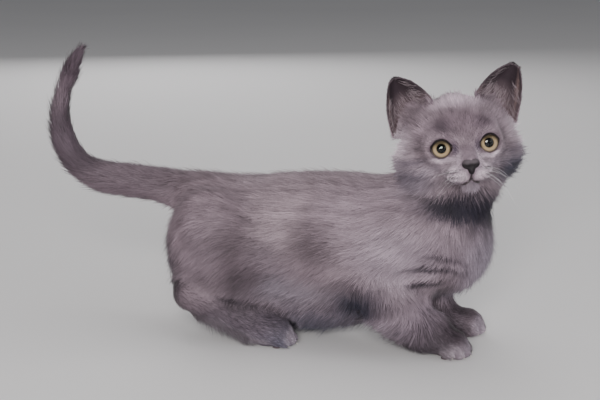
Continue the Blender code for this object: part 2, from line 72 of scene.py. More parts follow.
# The solids' own forms, out to the tips of the coat
TORSO = np.array(
    [
        (-48, 94.0, 24.0, 33.0),
        (-28, 94.0, 12.0, 36.0),
        (-5, 96.5, 6.5, 39.5),
        (20, 98.0, 6.5, 40.5),
        (45, 97.5, 12.0, 39.0),
        (68, 95.0, 22.0, 36.0),
        (86, 90.0, 31.0, 34.0),
    ]
)
RUMP_REACH, CHEST_REACH = 25, 26.5
SHOULDER = dict(at=(64, 26, 56), radii=(25, 14, 30))
HAUNCH = dict(at=(-44, 24, 53), radii=(30.5, 17, 33), turn=13)
SHANK = dict(knee=(-30, 24, 33), hock=(-55, 24, 30), knee_r=14, hock_r=11.5)
TAIL = np.array(
    [
        (-62, 80.0, 14.5),
        (-82, 84.0, 11.8),
        (-100, 85.8, 11.2),
        (-118, 87.5, 10.8),
        (-131, 91.7, 9.7),
        (-140, 99.5, 9.1),
        (-145.5, 110, 8.6),
        (-147.3, 123, 7.4),
        (-145.3, 136, 6.4),
        (-141.0, 148, 5.2),
        (-136.2, 158, 3.8),
        (-132.8, 164.0, 2.2),
    ]
)
TAIL_STEPS = 34
FORELEGS = {
    RIGHT: dict(elbow=(58, 29, 33), wrist=(78, 22, 14), wrist_r=13.5, paw=(88.5, 21.5), heading=-31),
    LEFT: dict(elbow=(69, 26, 39), wrist=(80, 20, 11), wrist_r=9.8, paw=(90, 20), heading=4),
}
ELBOW_R = 16.5
FOREPAW = (16.0, 11.5, 8.8)
HINDLEGS = {
    RIGHT: dict(heel=(-57.5, 29.5, 28), ball=(-12, 27.5), heading=5),
    LEFT: dict(heel=(-54, 29.5, 28), ball=(-8.5, 27.5), heading=-5),
}
HEEL_R, INSTEP_R = 10.5, 9.4
HINDPAW = (15, 10.2, 9.0)
TOE = (6.4, 3.9, 5.0)
TOE_LEADS = (7.5, 11.0, 11.0, 7.5)
TOE_STEP, TOE_FAN = 4.9, 9
SOLE_SINK = 0.9
HEAD_AT = np.array([92.2, -10.7, 117])
HEAD_YAW, HEAD_PITCH, HEAD_ROLL = -72, 5, 6.6
NECK = dict(low=(70, 0, 67), low_r=28, high=(91, -4, 99), high_r=25)
CRANIUM = ((-2, 0, 4.7), (28, 31, 25.6))
CHEEK = ((-1, 16.5, -5), (20, 19.2, 18.5))
JAW = ((5, 0, -10), (19, 20, 13))
BROW = ((17, 11.5, 10), (8.5, 8.5, 5.5))
MUZZLE = ((22, 0, -10.5), (13, 13, 8))
WHISKER_PAD = ((27.6, 5.4, -12.2), (7.6, 6.6, 5.4))
CHIN = ((25, 0, -17.4), (7.2, 6.4, 4.2))
BRIDGE = dict(top=(20, 0, 5), tip=(31.5, 0, -5.2), top_r=8.5, tip_r=4.8)
NOSE_AT = np.array([34.2, 0, -7.8])
NOSE_WING = ((0, 2.1, 1.1), (3.2, 2.7, 2.6))
NOSE_FOOT = ((0.4, 0, -2.2), (2.5, 1.8, 2.4))
NOSE_TOP = ((-0.8, 0, 2.0), (3.0, 3.2, 1.8))
NOSTRIL = dict(inner=(3.2, 1.9, -0.5), outer=(1.8, 4.1, 0.3), inner_r=0.85, outer_r=0.7)
CLEFT = ((0, -11.2), (0, -12.7), (0, -14.3), (0, -15.6))
LIPS = ((0, -15.4), (2.0, -16.9), (4.6, -18.0), (7.4, -17.9), (9.8, -16.6))
EYE_AT, EYE_R = (17.4, 12.0, 2.0), 8.6
EYE_OUT = 9
LID = 0.9
CORNEA_R, CORNEA_LEAD = 6.6, 2.5
OPENING = (5.1, 4.9)
# The corners of the lids: how sharp, how far out, how much further inwards, and their tilt
CORNER_SHARP, CORNER_OUT, CORNER_INWARD, CORNER_TILT = 14, 0.12, 0.1, 0.8
EAR = dict(
    inner=[(5, 11.5, 27), (5, 20, 39.5), (3, 30.0, 40.8)],
    back=[(-11, 25, 19), (-9.5, 31, 35), (-1.0, 33.2, 41.4)],
    outer=[(-4, 34.5, 8), (3, 39.5, 26), (2, 36.2, 38.0)],
)
EAR_LEAN = 2.0
EAR_FOOT = (-3, 17, 6)
EAR_SUNK = -0.6
BODY_MELT, NECK_MELT, TAIL_MELT, HEAD_MELT, LEG_MELT = 14, 16, 9, 10, 8
THIGH_MELT, FOREPAW_MELT, HINDPAW_MELT, TOE_MELT, TOE_PARTING = 12, 7, 5, 2.5, 1.2
SKULL_MELT, FACE_MELT, LIP_MELT, LIP_PARTING, LID_MELT = 9, 6, 2.5, 1.2, 3.0
NOSE_MELT, NOSTRIL_MELT = 1.6, 0.5
HINDFOOT_MELT = 4.0

# The skin's own sizes
EAR_SKIN, EAR_SKIN_RIM, EAR_SKIN_MELT = 1.5, 0.9, 2.5
SOCKET_SINK = 0.45  # how far the eyeball is sunk in the lids
SOCKET_FLARE, SOCKET_MELT = 0.012, 0.6  # how the opening widens outwards, and its rounding
LIP_GROOVE = 0.55
GROOVE_SINK, MOUTH_SINK = 1.3, 1.45  # how far under the face the groove's and the mouth's middles lie
FOOT_CLEAR = 0.35  # the skin stays this far above the floor, on its pads

# The lattice that the skin is surfaced on: stretches of start, end and step along each axis
LATTICE = (
    ((-158, -30, 1.6), (-30, 8, 0.9), (8, 40, 1.5), (40, 132, 0.6)),
    ((-54, 22, 0.6), (22, 52, 1.0)),
    ((-2, 24, 0.8), (24, 72, 1.2), (72, 172, 0.6)),
)
COARSE = 3.0  # the step of the rough lattice
BAND, EAR_BAND, FLOOR_BAND = 3.0, 2.2, 0.8  # how near a surface the fine field is worked out


def head_turn():
    turn = (
        Matrix.Rotation(math.radians(HEAD_YAW), 3, "Z")
        @ Matrix.Rotation(math.radians(-HEAD_PITCH), 3, "Y")
        @ Matrix.Rotation(math.radians(HEAD_ROLL), 3, "X")
    )
    return np.array(turn)


HEAD_TURN = head_turn()


def in_head(points):
    return (points - HEAD_AT) @ HEAD_TURN


def out_of_head(points):
    return np.asarray(points, float) @ HEAD_TURN.T + HEAD_AT


def mirrored(at, side):
    return (at[0], at[1] * side, at[2])


def unit(vectors):
    return vectors / np.maximum(np.linalg.norm(vectors, axis=-1, keepdims=True), 1e-9)


def way_of(heading, rise=0.0):
    """The way that a heading in degrees points, with this rise."""
    turn = math.radians(heading)
    return np.array([math.cos(turn), math.sin(turn), rise])


# Fields: the distance from points to a surface, negative inside
def ellipsoid(points, at, radii, turn=0.0):
    x, y, z = (points[..., k] - at[k] for k in range(3))
    c, s, _ = way_of(turn)
    local = np.stack([x * c + y * s, y * c - x * s, z], axis=-1)
    radii = np.array(radii, float)
    reach = np.linalg.norm(local / radii, axis=-1)
    slope = np.linalg.norm(local / radii**2, axis=-1)
    return reach * (reach - 1) / np.maximum(slope, 1e-6)


def round_cone(points, a, b, radius_a, radius_b):
    a, b = np.array(a, float), np.array(b, float)
    run = b - a
    share = np.clip((points - a) @ run / (run @ run), 0, 1)
    away = np.linalg.norm(points - a - share[..., None] * run, axis=-1)
    return away - (radius_a + (radius_b - radius_a) * share)


def melt(first, second, width):
    share = np.clip(0.5 + 0.5 * (second - first) / width, 0, 1)
    return second * (1 - share) + first * share - width * share * (1 - share)


def melted(fields, width):
    whole = fields[0]
    for field in fields[1:]:
        whole = melt(whole, field, width)
    return whole


def both(points, mass):
    at, radii = mass
    return np.minimum(
        ellipsoid(points, mirrored(at, LEFT), radii), ellipsoid(points, mirrored(at, RIGHT), radii)
    )


def smooth_between(x, stations, column):
    xs, values = stations[:, 0], stations[:, column]
    slopes = np.gradient(values, xs)
    x = np.clip(x, xs[0], xs[-1])
    i = np.clip(np.searchsorted(xs, x) - 1, 0, len(xs) - 2)
    step = xs[i + 1] - xs[i]
    t = (x - xs[i]) / step
    return (
        values[i] * (1 + 2 * t) * (1 - t) ** 2
        + values[i + 1] * t * t * (3 - 2 * t)
        + slopes[i] * step * t * (1 - t) ** 2
        - slopes[i + 1] * step * t * t * (1 - t)
    )


def torso_field(points):
    x = points[..., 0]
    top, under, half_width = (smooth_between(x, TORSO, k) for k in (1, 2, 3))
    middle, half_height = (top + under) / 2, (top - under) / 2
    first, last = TORSO[0, 0], TORSO[-1, 0]
    past = np.where(x < first, (x - first) / RUMP_REACH, np.maximum(x - last, 0) / CHEST_REACH)
    across = points[..., 1] / half_width
    upright = (points[..., 2] - middle) / half_height
    reach = np.sqrt(past**2 + across**2 + upright**2)
    slope = np.sqrt((past / RUMP_REACH) ** 2 + (across / half_width) ** 2 + (upright / half_height) ** 2)
    return reach * (reach - 1) / np.maximum(slope, 1e-6)


def toe_places(middle, heading):
    """The middle and heading of each of a paw's four toes."""
    ahead = way_of(heading)[:2]
    aside = np.array([-ahead[1], ahead[0]])
    for number, lead in enumerate(TOE_LEADS):
        place = number - (len(TOE_LEADS) - 1) / 2
        x, y = np.array(middle[:2]) + ahead * lead + aside * place * TOE_STEP
        yield (x, y, TOE[2] - SOLE_SINK), heading + place * TOE_FAN


def toes(points, middle, heading):
    return melted([ellipsoid(points, at, TOE, turn) for at, turn in toe_places(middle, heading)], TOE_PARTING)


def paws():
    """The side, middle and heading of each paw, and whether it is a forepaw."""
    for legs, joint, height in ((FORELEGS, "paw", FOREPAW[2]), (HINDLEGS, "ball", HINDPAW[2])):
        for side, _ in SIDES:
            leg = legs[side]
            yield side, mirrored((*leg[joint], height - SOLE_SINK), side), leg["heading"], legs is FORELEGS


def foreleg_field(points, side):
    leg = FORELEGS[side]
    elbow, wrist = mirrored(leg["elbow"], side), mirrored(leg["wrist"], side)
    paw_at = mirrored((*leg["paw"], FOREPAW[2] - SOLE_SINK), side)
    arm = round_cone(points, elbow, wrist, ELBOW_R, leg["wrist_r"])
    paw = ellipsoid(points, paw_at, FOREPAW, leg["heading"])
    return melt(melt(arm, paw, FOREPAW_MELT), toes(points, paw_at, leg["heading"]), TOE_MELT)


def hindfoot_field(points, side):
    leg = HINDLEGS[side]
    ball_at = mirrored((*leg["ball"], HINDPAW[2] - SOLE_SINK), side)
    shaft = round_cone(points, mirrored(leg["heel"], side), ball_at, HEEL_R, INSTEP_R)
    paw = ellipsoid(points, ball_at, HINDPAW, leg["heading"])
    return melt(melt(shaft, paw, HINDPAW_MELT), toes(points, ball_at, leg["heading"]), TOE_MELT)


def haunch_field(points, side):
    thigh = ellipsoid(points, mirrored(HAUNCH["at"], side), HAUNCH["radii"], HAUNCH["turn"] * side)
    knee, hock = mirrored(SHANK["knee"], side), mirrored(SHANK["hock"], side)
    return melt(thigh, round_cone(points, knee, hock, SHANK["knee_r"], SHANK["hock_r"]), THIGH_MELT)


def tail_line():
    stations = np.column_stack([np.arange(len(TAIL)), TAIL])
    at = np.linspace(0, len(TAIL) - 1, TAIL_STEPS)
    return [smooth_between(at, stations, k) for k in (1, 2, 3)]


def tail_field(points):
    x, z, radius = tail_line()
    runs = [
        round_cone(points, (x[i], 0, z[i]), (x[i + 1], 0, z[i + 1]), radius[i], radius[i + 1])
        for i in range(TAIL_STEPS - 1)
    ]
    return np.minimum.reduce(runs)


def skull_field(points):
    cranium, jaw = ellipsoid(points, *CRANIUM), ellipsoid(points, *JAW)
    round_head = melted([cranium, both(points, CHEEK), jaw], SKULL_MELT)
    bridge = round_cone(points, BRIDGE["top"], BRIDGE["tip"], BRIDGE["top_r"], BRIDGE["tip_r"])
    face = melted([round_head, both(points, BROW), bridge, ellipsoid(points, *MUZZLE)], FACE_MELT)
    lips = melt(both(points, WHISKER_PAD), ellipsoid(points, *CHIN), LIP_PARTING)
    lids = both(points, (EYE_AT, (EYE_R + LID,) * 3))
    return melt(melt(face, lips, LIP_MELT), lids, LID_MELT)


def where_near(points, field, low, high, far=40.0):
    """The field's values inside a box, and a far value outside it."""
    near = np.all((points >= low) & (points <= high), axis=-1)
    values = np.full(points.shape[:-1], far)
    values[near] = field(points[near])
    return values


def flesh_field(points):
    """Everything but the ears, the eyes and the nose pad."""
    masses = [torso_field(points)]
    for side, _ in SIDES:
        masses.append(ellipsoid(points, mirrored(SHOULDER["at"], side), SHOULDER["radii"]))
        masses.append(haunch_field(points, side))
    whole = melted(masses, BODY_MELT)
    neck = round_cone(points, NECK["low"], NECK["high"], NECK["low_r"], NECK["high_r"])
    whole = melt(whole, neck, NECK_MELT)
    whole = melt(whole, where_near(points, tail_field, (-200, -40, 50), (-40, 40, 200)), TAIL_MELT)
    skull = where_near(points, lambda near: skull_field(in_head(near)), (30, -80, 55), (160, 60, 200))
    whole = melt(whole, skull, HEAD_MELT)
    for side, _ in SIDES:
        foreleg = where_near(points, lambda near: foreleg_field(near, side), (25, -70, -20), (135, 70, 90))
        whole = melt(whole, foreleg, LEG_MELT)
        foot = where_near(points, lambda near: hindfoot_field(near, side), (-90, -60, -20), (30, 60, 60))
        whole = melt(whole, foot, HINDFOOT_MELT)
    return whole


# Zones of the coat. Each has a middle, radii, a softness and what it changes there:
# depth of the coat, length and half width of a tuft, its rise from the skin at the root and near
# the tip in degrees, tufts per square millimetre, stray, and how far tips draw together
TRAITS = ("depth", "length", "width", "rise", "fall", "crowd", "stray", "pull")
PLAIN_COAT = dict(depth=4.5, length=9.4, width=0.18, rise=40, fall=13, crowd=3.2, stray=0.15, pull=0.26)
# Short hair on the front of the shoulders, where partings of painted shade lie
PARTING_COAT = dict(depth=3.6, length=5.4, width=0.16, rise=32, fall=8, stray=0.12)
BODY_ZONES = [
    ((98, 0, 50), (22, 44, 34), 0.4, dict(depth=5.2, length=11, rise=44, fall=19, stray=0.22, pull=0.4)),
    ((86, -2, 84), (22, 40, 14), 0.5, dict(depth=4.8, length=10.5, rise=44, fall=17, stray=0.2, pull=0.35)),
    (
        (14, 0, 4),
        (66, 44, 16),
        0.4,
        dict(depth=5.0, length=12, rise=50, fall=30, crowd=2.6, stray=0.26, pull=0.5),
    ),
    ((-64, 0, 50), (16, 44, 44), 0.5, dict(depth=4.6, length=10, rise=44, fall=18, stray=0.2)),
    *(((85, 32 * side, 51), (13, 18, 13), 0.4, PARTING_COAT) for side, _ in SIDES),
    ((-42, 0, 26), (34, 60, 16), 0.4, dict(depth=4.0, length=7.6, width=0.17, fall=10, crowd=3.2)),
    (
        (-125, 0, 120),
        (48, 30, 60),
        0.25,
        dict(depth=4.4, length=11, width=0.21, rise=34, crowd=2.6, pull=0.3),
    ),
    ((-134, 0, 158), (14, 14, 18), 0.4, dict(depth=2.2, length=8.5, width=0.18, crowd=3.4)),
]
FRINGE = ((60, 28, 22), (17, 17, 13))  # behind each elbow
FORELEG_COAT = dict(depth=3.4, length=7.5, width=0.2, rise=40, fall=14, crowd=3.2, stray=0.17, pull=0.35)
FOREPAW_COAT = dict(depth=1.5, length=3.4, width=0.14, rise=32, fall=12, crowd=4.4, stray=0.14, pull=0.2)
HINDFOOT_COAT = dict(depth=1.3, length=4.0, width=0.15, rise=32, fall=12, crowd=3.8, stray=0.12, pull=0.2)
FRINGE_COAT = dict(length=10.5, width=0.18, rise=48, fall=26, crowd=3.4, stray=0.24, pull=0.5)
TOE_COAT = dict(depth=0.8, length=2.2, width=0.12, rise=28, fall=10, crowd=6.0, stray=0.12, pull=0.1)
ARM_FRINGE_COAT = dict(length=8.5, width=0.15, rise=50, fall=34, crowd=3.6, stray=0.24, pull=0.45)
FOOT_FRINGE_COAT = dict(length=8.0, width=0.14, rise=52, fall=40, crowd=4.0, stray=0.2, pull=0.4)
HEAD_ZONES = [
    (
        (2, 0, 0),
        (46, 44, 36),
        0.2,
        dict(depth=3.8, length=7.5, width=0.18, rise=40, fall=13, crowd=3.6, stray=0.14, pull=0.3),
    ),
    ((-4, 31, -6), (17, 15, 19), 0.5, dict(depth=5.0, length=11, width=0.2, fall=18, stray=0.18, pull=0.45)),
    ((2, 0, -26), (24, 28, 12), 0.5, dict(depth=5.0, length=11, width=0.2, fall=20, stray=0.2, pull=0.45)),
    ((26, 0, 12), (14, 24, 14), 0.5, dict(depth=2.4, length=5.2, width=0.14, rise=36, crowd=5.0, pull=0.15)),
    ((30, 0, -6), (16, 24, 16), 0.4, dict(depth=1.6, length=3.6, width=0.12, rise=32, crowd=7.0, pull=0.1)),
    ((24, 13, 2), (10, 10.5, 9.5), 0.3, dict(depth=0.7, length=2.2, width=0.1, rise=26, fall=8, crowd=10.0)),
    ((32, 7, -12), (9, 8, 6), 0.4, dict(depth=1.1, length=3.0, width=0.1, rise=30, crowd=9.0)),
    ((34, 0, -3), (7, 6, 8), 0.4, dict(depth=0.6, length=1.8, width=0.09, rise=24, fall=8, crowd=11.0)),
    ((28, 0, -19.5), (8, 8, 4.5), 0.4, dict(depth=2.3, length=6.0, width=0.12, rise=38, fall=22, crowd=8.0)),
    ((4, 14, 29), (11, 9, 8), 0.5, dict(length=5.0, width=0.14, rise=20, fall=4, stray=0.07, pull=0.2)),
    ((-3, 33, 9), (9, 8, 10), 0.5, dict(length=5.0, width=0.14, rise=24, fall=6, stray=0.08, pull=0.15)),
]
# Looser fur on the cat's left cheek alone, where the zones of the head hold on both sides
LEFT_CHEEK = ((7, 30, -17), (12, 9, 9), 0.5, dict(length=10.5, rise=44, fall=22, width=0.15, pull=0.3))


def soft_inside(points, at, radii, soft):
    """1 inside an ellipsoid, 0 outside, with a soft edge."""
    reach = np.linalg.norm((points - np.array(at)) / np.array(radii, float), axis=-1)
    share = np.clip((1 + soft - reach) / (2 * soft), 0, 1)
    return share * share * (3 - 2 * share)


def soft_along(points, start, end, radius, soft):
    """1 near a rod, 0 away from it, with a soft edge."""
    reach = round_cone(points, start, end, 0, 0) / radius
    share = np.clip((1 + soft - reach) / (2 * soft), 0, 1)
    return share * share * (3 - 2 * share)


def leg_lines():
    """Elbow and wrist of each foreleg, heel and ball of each hind foot."""
    for side, _ in SIDES:
        leg, foot = FORELEGS[side], HINDLEGS[side]
        yield True, *(np.array(mirrored(leg[joint], side), float) for joint in ("elbow", "wrist"))
        ball = (*foot["ball"], HINDPAW[2] - SOLE_SINK)
        yield False, *(np.array(mirrored(place, side), float) for place in (foot["heel"], ball))


def foot_fringe(points, heel, ball):
    """1 along the lower edge of a hind foot's shaft, where longer hair hangs."""
    return soft_along(points, heel + (6, 0, -11), ball + (-9, 0, -8), 6.5, 0.4)


def arm_fringe(points, elbow, wrist):
    """1 along the back and lower edge of a forearm."""
    return soft_along(points, elbow + (-9, 0, -9), wrist + (-8, 0, -8), 8, 0.4)


def leg_shares(points):
    """How far points are in each zone of the legs, and the coat there."""
    for fore, start, end in leg_lines():
        if fore:
            yield soft_along(points, start * 0.6 + end * 0.4, end, 19, 0.25), FORELEG_COAT
            yield arm_fringe(points, start, end), ARM_FRINGE_COAT
        else:
            yield soft_along(points, start, end, 12.2, 0.12), HINDFOOT_COAT
            yield foot_fringe(points, start, end), FOOT_FRINGE_COAT
    for _, at, heading, fore in paws():
        ahead = way_of(heading)
        if fore:
            yield soft_inside(points, np.array(at) + ahead * 2, (19, 15, 12), 0.3), FOREPAW_COAT
        yield soft_inside(points, np.array(at) + ahead * 13, (8, 13, 12), 0.4), TOE_COAT
    for side, _ in SIDES:
        yield soft_inside(points, mirrored(FRINGE[0], side), FRINGE[1], 0.4), FRINGE_COAT


def coat_at(points, traits=TRAITS):
    """What the coat is like at points, one array for each trait."""
    values = {trait: np.full(points.shape[:-1], float(PLAIN_COAT[trait])) for trait in traits}
    local = in_head(points)
    folded = np.stack([local[..., 0], np.abs(local[..., 1]), local[..., 2]], axis=-1)

    def shares():
        for at, radii, soft, changes in BODY_ZONES:
            yield soft_inside(points, at, radii, soft), changes
        yield from leg_shares(points)
        for at, radii, soft, changes in HEAD_ZONES:
            yield soft_inside(folded, at, radii, soft), changes
        yield soft_inside(local, *LEFT_CHEEK[:3]), LEFT_CHEEK[3]

    for share, changes in shares():
        for trait in traits:
            if trait in changes:
                values[trait] += (changes[trait] - values[trait]) * share
    return values


# Ears
def along(line, share):
    start, pull, end = (np.array(place, float) for place in line)
    share = np.asarray(share, float)[..., None]
    return start * (1 - share) ** 2 + 2 * pull * share * (1 - share) + end * share**2


def ear_sheet(across, up, side):
    """Points of an ear's middle sheet in the head's frame, for arrays across (-1 to 1) and up (0 to 1)."""
    risen, sunk = np.maximum(up, 0), np.maximum(-up, 0)[..., None]
    inner, back, outer = (along(EAR[line], risen) for line in ("inner", "back", "outer"))
    a = across[..., None]
    point = inner * a * (a - 1) / 2 + back * (1 - a**2) + outer * a * (a + 1) / 2
    point = point + (np.array(EAR_FOOT) - point) * sunk
    point[..., 1] = point[..., 1] * side + EAR_LEAN * risen**1.5
    return point


def ear_runs(across, up, side, step):
    """How the sheet runs across and up at these places, over a small step each way."""
    run_across = ear_sheet(across + step, up, side) - ear_sheet(across - step, up, side)
    run_up = ear_sheet(across, up + step, side) - ear_sheet(across, up - step, side)
    return run_across, run_up


def ear_normals(across, up, side):
    """Unit normals of the sheet, out of the cup's hollow side."""
    return unit(np.cross(*ear_runs(across, up, side, 0.01))) * side


def ear_shell(side):
    """A closed mesh of one ear's skin, in the kitten's frame."""
    across, up = np.meshgrid(np.linspace(-1, 1, 33), np.linspace(EAR_SUNK, 1, 45), indexing="ij")
    sheet, normal = ear_sheet(across, up, side), ear_normals(across, up, side)
    thick = EAR_SKIN_RIM + (EAR_SKIN - EAR_SKIN_RIM) * (1 - across**4) * (1 - np.maximum(up, 0) ** 3)
    layers = [out_of_head(sheet + normal * thick[..., None] * half) for half in (0.5, -0.5)]
    points = np.concatenate([layer.reshape(-1, 3) for layer in layers])
    count = across.size
    index = np.arange(count).reshape(across.shape)
    a, b, c, d = index[:-1, :-1], index[1:, :-1], index[1:, 1:], index[:-1, 1:]
    front = np.stack([a, b, c, d][::side], axis=-1).reshape(-1, 4)
    rim = np.concatenate([index[:, 0], index[-1, 1:], index[-2::-1, -1], index[0, -2:0:-1]])
    rolled = np.roll(rim, -1)
    edge = np.stack([rim, rim + count, rolled + count, rolled][::side], axis=-1)
    return points, np.concatenate([front, front[:, ::-1] + count, edge])


class Ears:
    """Both ears' skin as one field, and the nearest place of the ears' sheets to any point."""

    voxel, reach = 0.5, 8

    def __init__(self):
        grids = []
        for side, _ in SIDES:
            points, quads = ear_shell(side)
            grids.append(
                openvdb.FloatGrid.createLevelSetFromPolygons(
                    points.astype(np.float32),
                    quads=quads.astype(np.uint32),
                    transform=openvdb.createLinearTransform(self.voxel),
                    halfWidth=self.reach,
                )
            )
        corners = np.concatenate([ear_shell(side)[0] for side, _ in SIDES])
        self.low = np.floor(corners.min(axis=0) / self.voxel).astype(int) - self.reach
        size = np.ceil(corners.max(axis=0) / self.voxel).astype(int) + self.reach - self.low
        layers = []
        for grid in grids:
            layer = np.zeros(size, np.float32)
            grid.copyToArray(layer, ijk=tuple(int(k) for k in self.low))
            layers.append(layer)
        self.values = np.minimum(*layers)
        self.tree = KDTree(2 * 25 * 41)
        self.sheet = []
        for side, _ in SIDES:
            across, up = np.meshgrid(np.linspace(-1, 1, 25), np.linspace(-0.1, 1, 41), indexing="ij")
            places = out_of_head(ear_sheet(across, up, side)).reshape(-1, 3)
            normals = (ear_normals(across, up, side) @ HEAD_TURN.T).reshape(-1, 3)
            for place, normal, a, u in zip(places, normals, across.ravel(), up.ravel()):
                self.tree.insert(place, len(self.sheet))
                self.sheet.append((side, a, u, *normal))
        self.tree.balance()
        self.sheet = np.array(self.sheet)

    def field(self, points):
        at = points / self.voxel - self.low
        last = np.array(self.values.shape) - 2
        inside = np.all((at >= 0) & (at <= last), axis=-1)
        at = np.clip(at, 0, last)
        cell = at.astype(int)
        part = at - cell
        total = 0.0
        for corner in np.ndindex(2, 2, 2):
            weight = np.prod(np.where(corner, part, 1 - part), axis=-1)
            i, j, k = (cell[..., n] + corner[n] for n in range(3))
            total = total + weight * self.values[i, j, k]
        return np.where(inside, total, self.voxel * self.reach)

    def nearest(self, points):
        """side, across, up and the cup's normal at each point."""
        return self.sheet[[self.tree.find(point)[1] for point in points]]


EARS = Ears()


# Eyes
def eye_turn(side):
    """The turn and the middle of one eye in the kitten's frame, with x out through its opening."""
    turn = HEAD_TURN @ np.array(Matrix.Rotation(math.radians(EYE_OUT * side), 3, "Z"))
    return turn, out_of_head(mirrored(EYE_AT, side))


def in_eye(points, side):
    turn, at = eye_turn(side)
    return (points - at) @ turn


def lid_corner(angle, side):
    """At an angle round the lids: half the opening's width, its tilt, and how near the inner corner is."""
    corner = np.abs(np.cos(angle)) ** CORNER_SHARP
    inward = corner * (np.cos(angle) * side < 0)
    half_width = OPENING[0] * (1 + CORNER_OUT * corner + CORNER_INWARD * inward)
    return half_width, CORNER_TILT * corner * np.sign(np.cos(angle)) * side, inward


def opening_reach(local, side):
    """How far out a place is in the lids' opening, 1 at its rim. The corners run out to a point."""
    y, z = local[..., 1], local[..., 2]
    half_width, tilt, _ = lid_corner(np.arctan2(z / OPENING[1], y / OPENING[0]), side)
    return np.sqrt((y / half_width) ** 2 + ((z - tilt) / OPENING[1]) ** 2)


def carve_eyes(points, values):
    for side, _ in SIDES:
        local = in_eye(points, side)
        ball = np.linalg.norm(local, axis=-1) - (EYE_R - SOCKET_SINK)
        flare = 1 + SOCKET_FLARE * np.maximum(local[..., 0], 0)
        opening = (opening_reach(local / flare[..., None], side) - 1) * OPENING[1]
        opening = np.where(local[..., 0] > 1, opening, 10.0)
        hole = melt(ball, opening, SOCKET_MELT)
        values = np.maximum(values, -hole)
    return values


def on_face(y, z, sink):
    """Places under the face's surface by the sink, at this y and z in the head's frame."""
    y, z = np.asarray(y, float), np.asarray(z, float)
    inside, outside = np.zeros_like(y), np.full_like(y, 60.0)
    for _ in range(26):
        x = (inside + outside) / 2
        out = skull_field(np.stack([x, y, z], axis=-1)) > -sink
        outside, inside = np.where(out, x, outside), np.where(out, inside, x)
    return np.stack([inside, y, z], axis=-1)


def eased(line, count):
    """A smooth line of places through the given ones."""
    line = np.array(line, float)
    at = np.linspace(0, len(line) - 1, count)
    stations = np.column_stack([np.arange(len(line)), line])
    return np.stack([smooth_between(at, stations, k + 1) for k in range(line.shape[1])], axis=-1)


def mouth_lines():
    """The cleft under the nose and both lips, as lines of y and z on the face."""
    yield eased(CLEFT, 9)
    for side, _ in SIDES:
        yield eased([(y * side, z) for y, z in LIPS], 17)


def groove_field(points):
    local = in_head(points)
    total = np.full(points.shape[:-1], 9.0)
    near = np.all((local > (16, -14, -24)) & (local < (42, 14, -8)), axis=-1)
    for line in mouth_lines():
        places = on_face(line[:, 0], line[:, 1], GROOVE_SINK)
        for a, b in zip(places, places[1:]):
            total[near] = np.minimum(total[near], round_cone(local[near], a, b, LIP_GROOVE, LIP_GROOVE))
    return total


def skin_field(points):
    whole = flesh_field(points) + coat_at(points, ("depth",))["depth"]
    whole = np.maximum(whole, FOOT_CLEAR - points[..., 2])
    whole = melt(whole, EARS.field(points), EAR_SKIN_MELT)
    return np.maximum(whole, -groove_field(points))


# Skin
def stretches(parts):
    return np.concatenate([np.arange(start, end, step) for start, end, step in parts] + [[parts[-1][1]]])


def spread(values, coarse, fine):
    """Values of a coarse lattice at the places of a finer one."""
    for k in range(3):
        at = np.interp(fine[k], coarse[k], np.arange(len(coarse[k])))
        cell = np.minimum(at.astype(int), len(coarse[k]) - 2)
        shape = [1, 1, 1]
        shape[k] = -1
        part = (at - cell).reshape(shape)
        values = np.take(values, cell, axis=k) * (1 - part) + np.take(values, cell + 1, axis=k) * part
    return values


def largest_shell(points, faces):
    """Keeps only the largest connected surface."""
    label = np.arange(len(points))
    while True:
        low = label[faces].min(axis=1)
        new = label.copy()
        np.minimum.at(new, faces.ravel(), np.repeat(low, faces.shape[1]))
        new = new[new]
        if np.array_equal(new, label):
            break
        label = new
    names, counts = np.unique(label[faces[:, 0]], return_counts=True)
    faces = faces[label[faces[:, 0]] == names[counts.argmax()]]
    used, faces = np.unique(faces, return_inverse=True)
    return points[used], faces.reshape(-1, 4)


def surfaced(values, axes):
    """The surface of a field on a lattice, as points and quads that face outwards."""
    grid = openvdb.FloatGrid(background=5.0)
    grid.copyFromArray(np.ascontiguousarray(values, np.float32))
    points, quads = grid.convertToQuads(0.0)
    points = np.stack([np.interp(points[:, k], np.arange(len(axes[k])), axes[k]) for k in range(3)], axis=1)
    return largest_shell(points, quads.astype(int))


def make_skin():
    fine = [stretches(parts) for parts in LATTICE]
    coarse = [np.arange(axis[0] - 1, axis[-1] + COARSE + 1, COARSE) for axis in fine]
    places = np.stack(np.meshgrid(*coarse, indexing="ij"), axis=-1)
    rough = flesh_field(places) + coat_at(places, ("depth",))["depth"]
    values = spread(rough, coarse, fine)
    places = np.stack(np.meshgrid(*fine, indexing="ij"), axis=-1)
    near = (np.abs(values) < BAND) | (places[..., 2] < FOOT_CLEAR + FLOOR_BAND) & (values < BAND)
    head = (places[..., 0] > 40) & (places[..., 2] > 100)
    ears = np.zeros(values.shape, bool)
    ears[head] = EARS.field(places[head]) < EAR_BAND
    near |= ears
    values[near] = skin_field(places[near])
    face = (places[..., 2] > 95) & (places[..., 0] > 60) & (places[..., 1] < 10)
    values[face] = carve_eyes(places[face], values[face])
    return surfaced(values, fine)


def vertex_normals(points, faces):
    a, b, c = (points[faces[:, k]] for k in range(3))
    across = np.cross(b - a, c - a)
    total = np.zeros_like(points)
    for k in range(3):
        for n in range(3):
            total[:, n] += np.bincount(faces[:, k], across[:, n], len(points))
    return unit(total)


# Meshes
def new_object(name, mesh):
    obj = bpy.data.objects.new(name, mesh)
    bpy.context.scene.collection.objects.link(obj)
    return obj


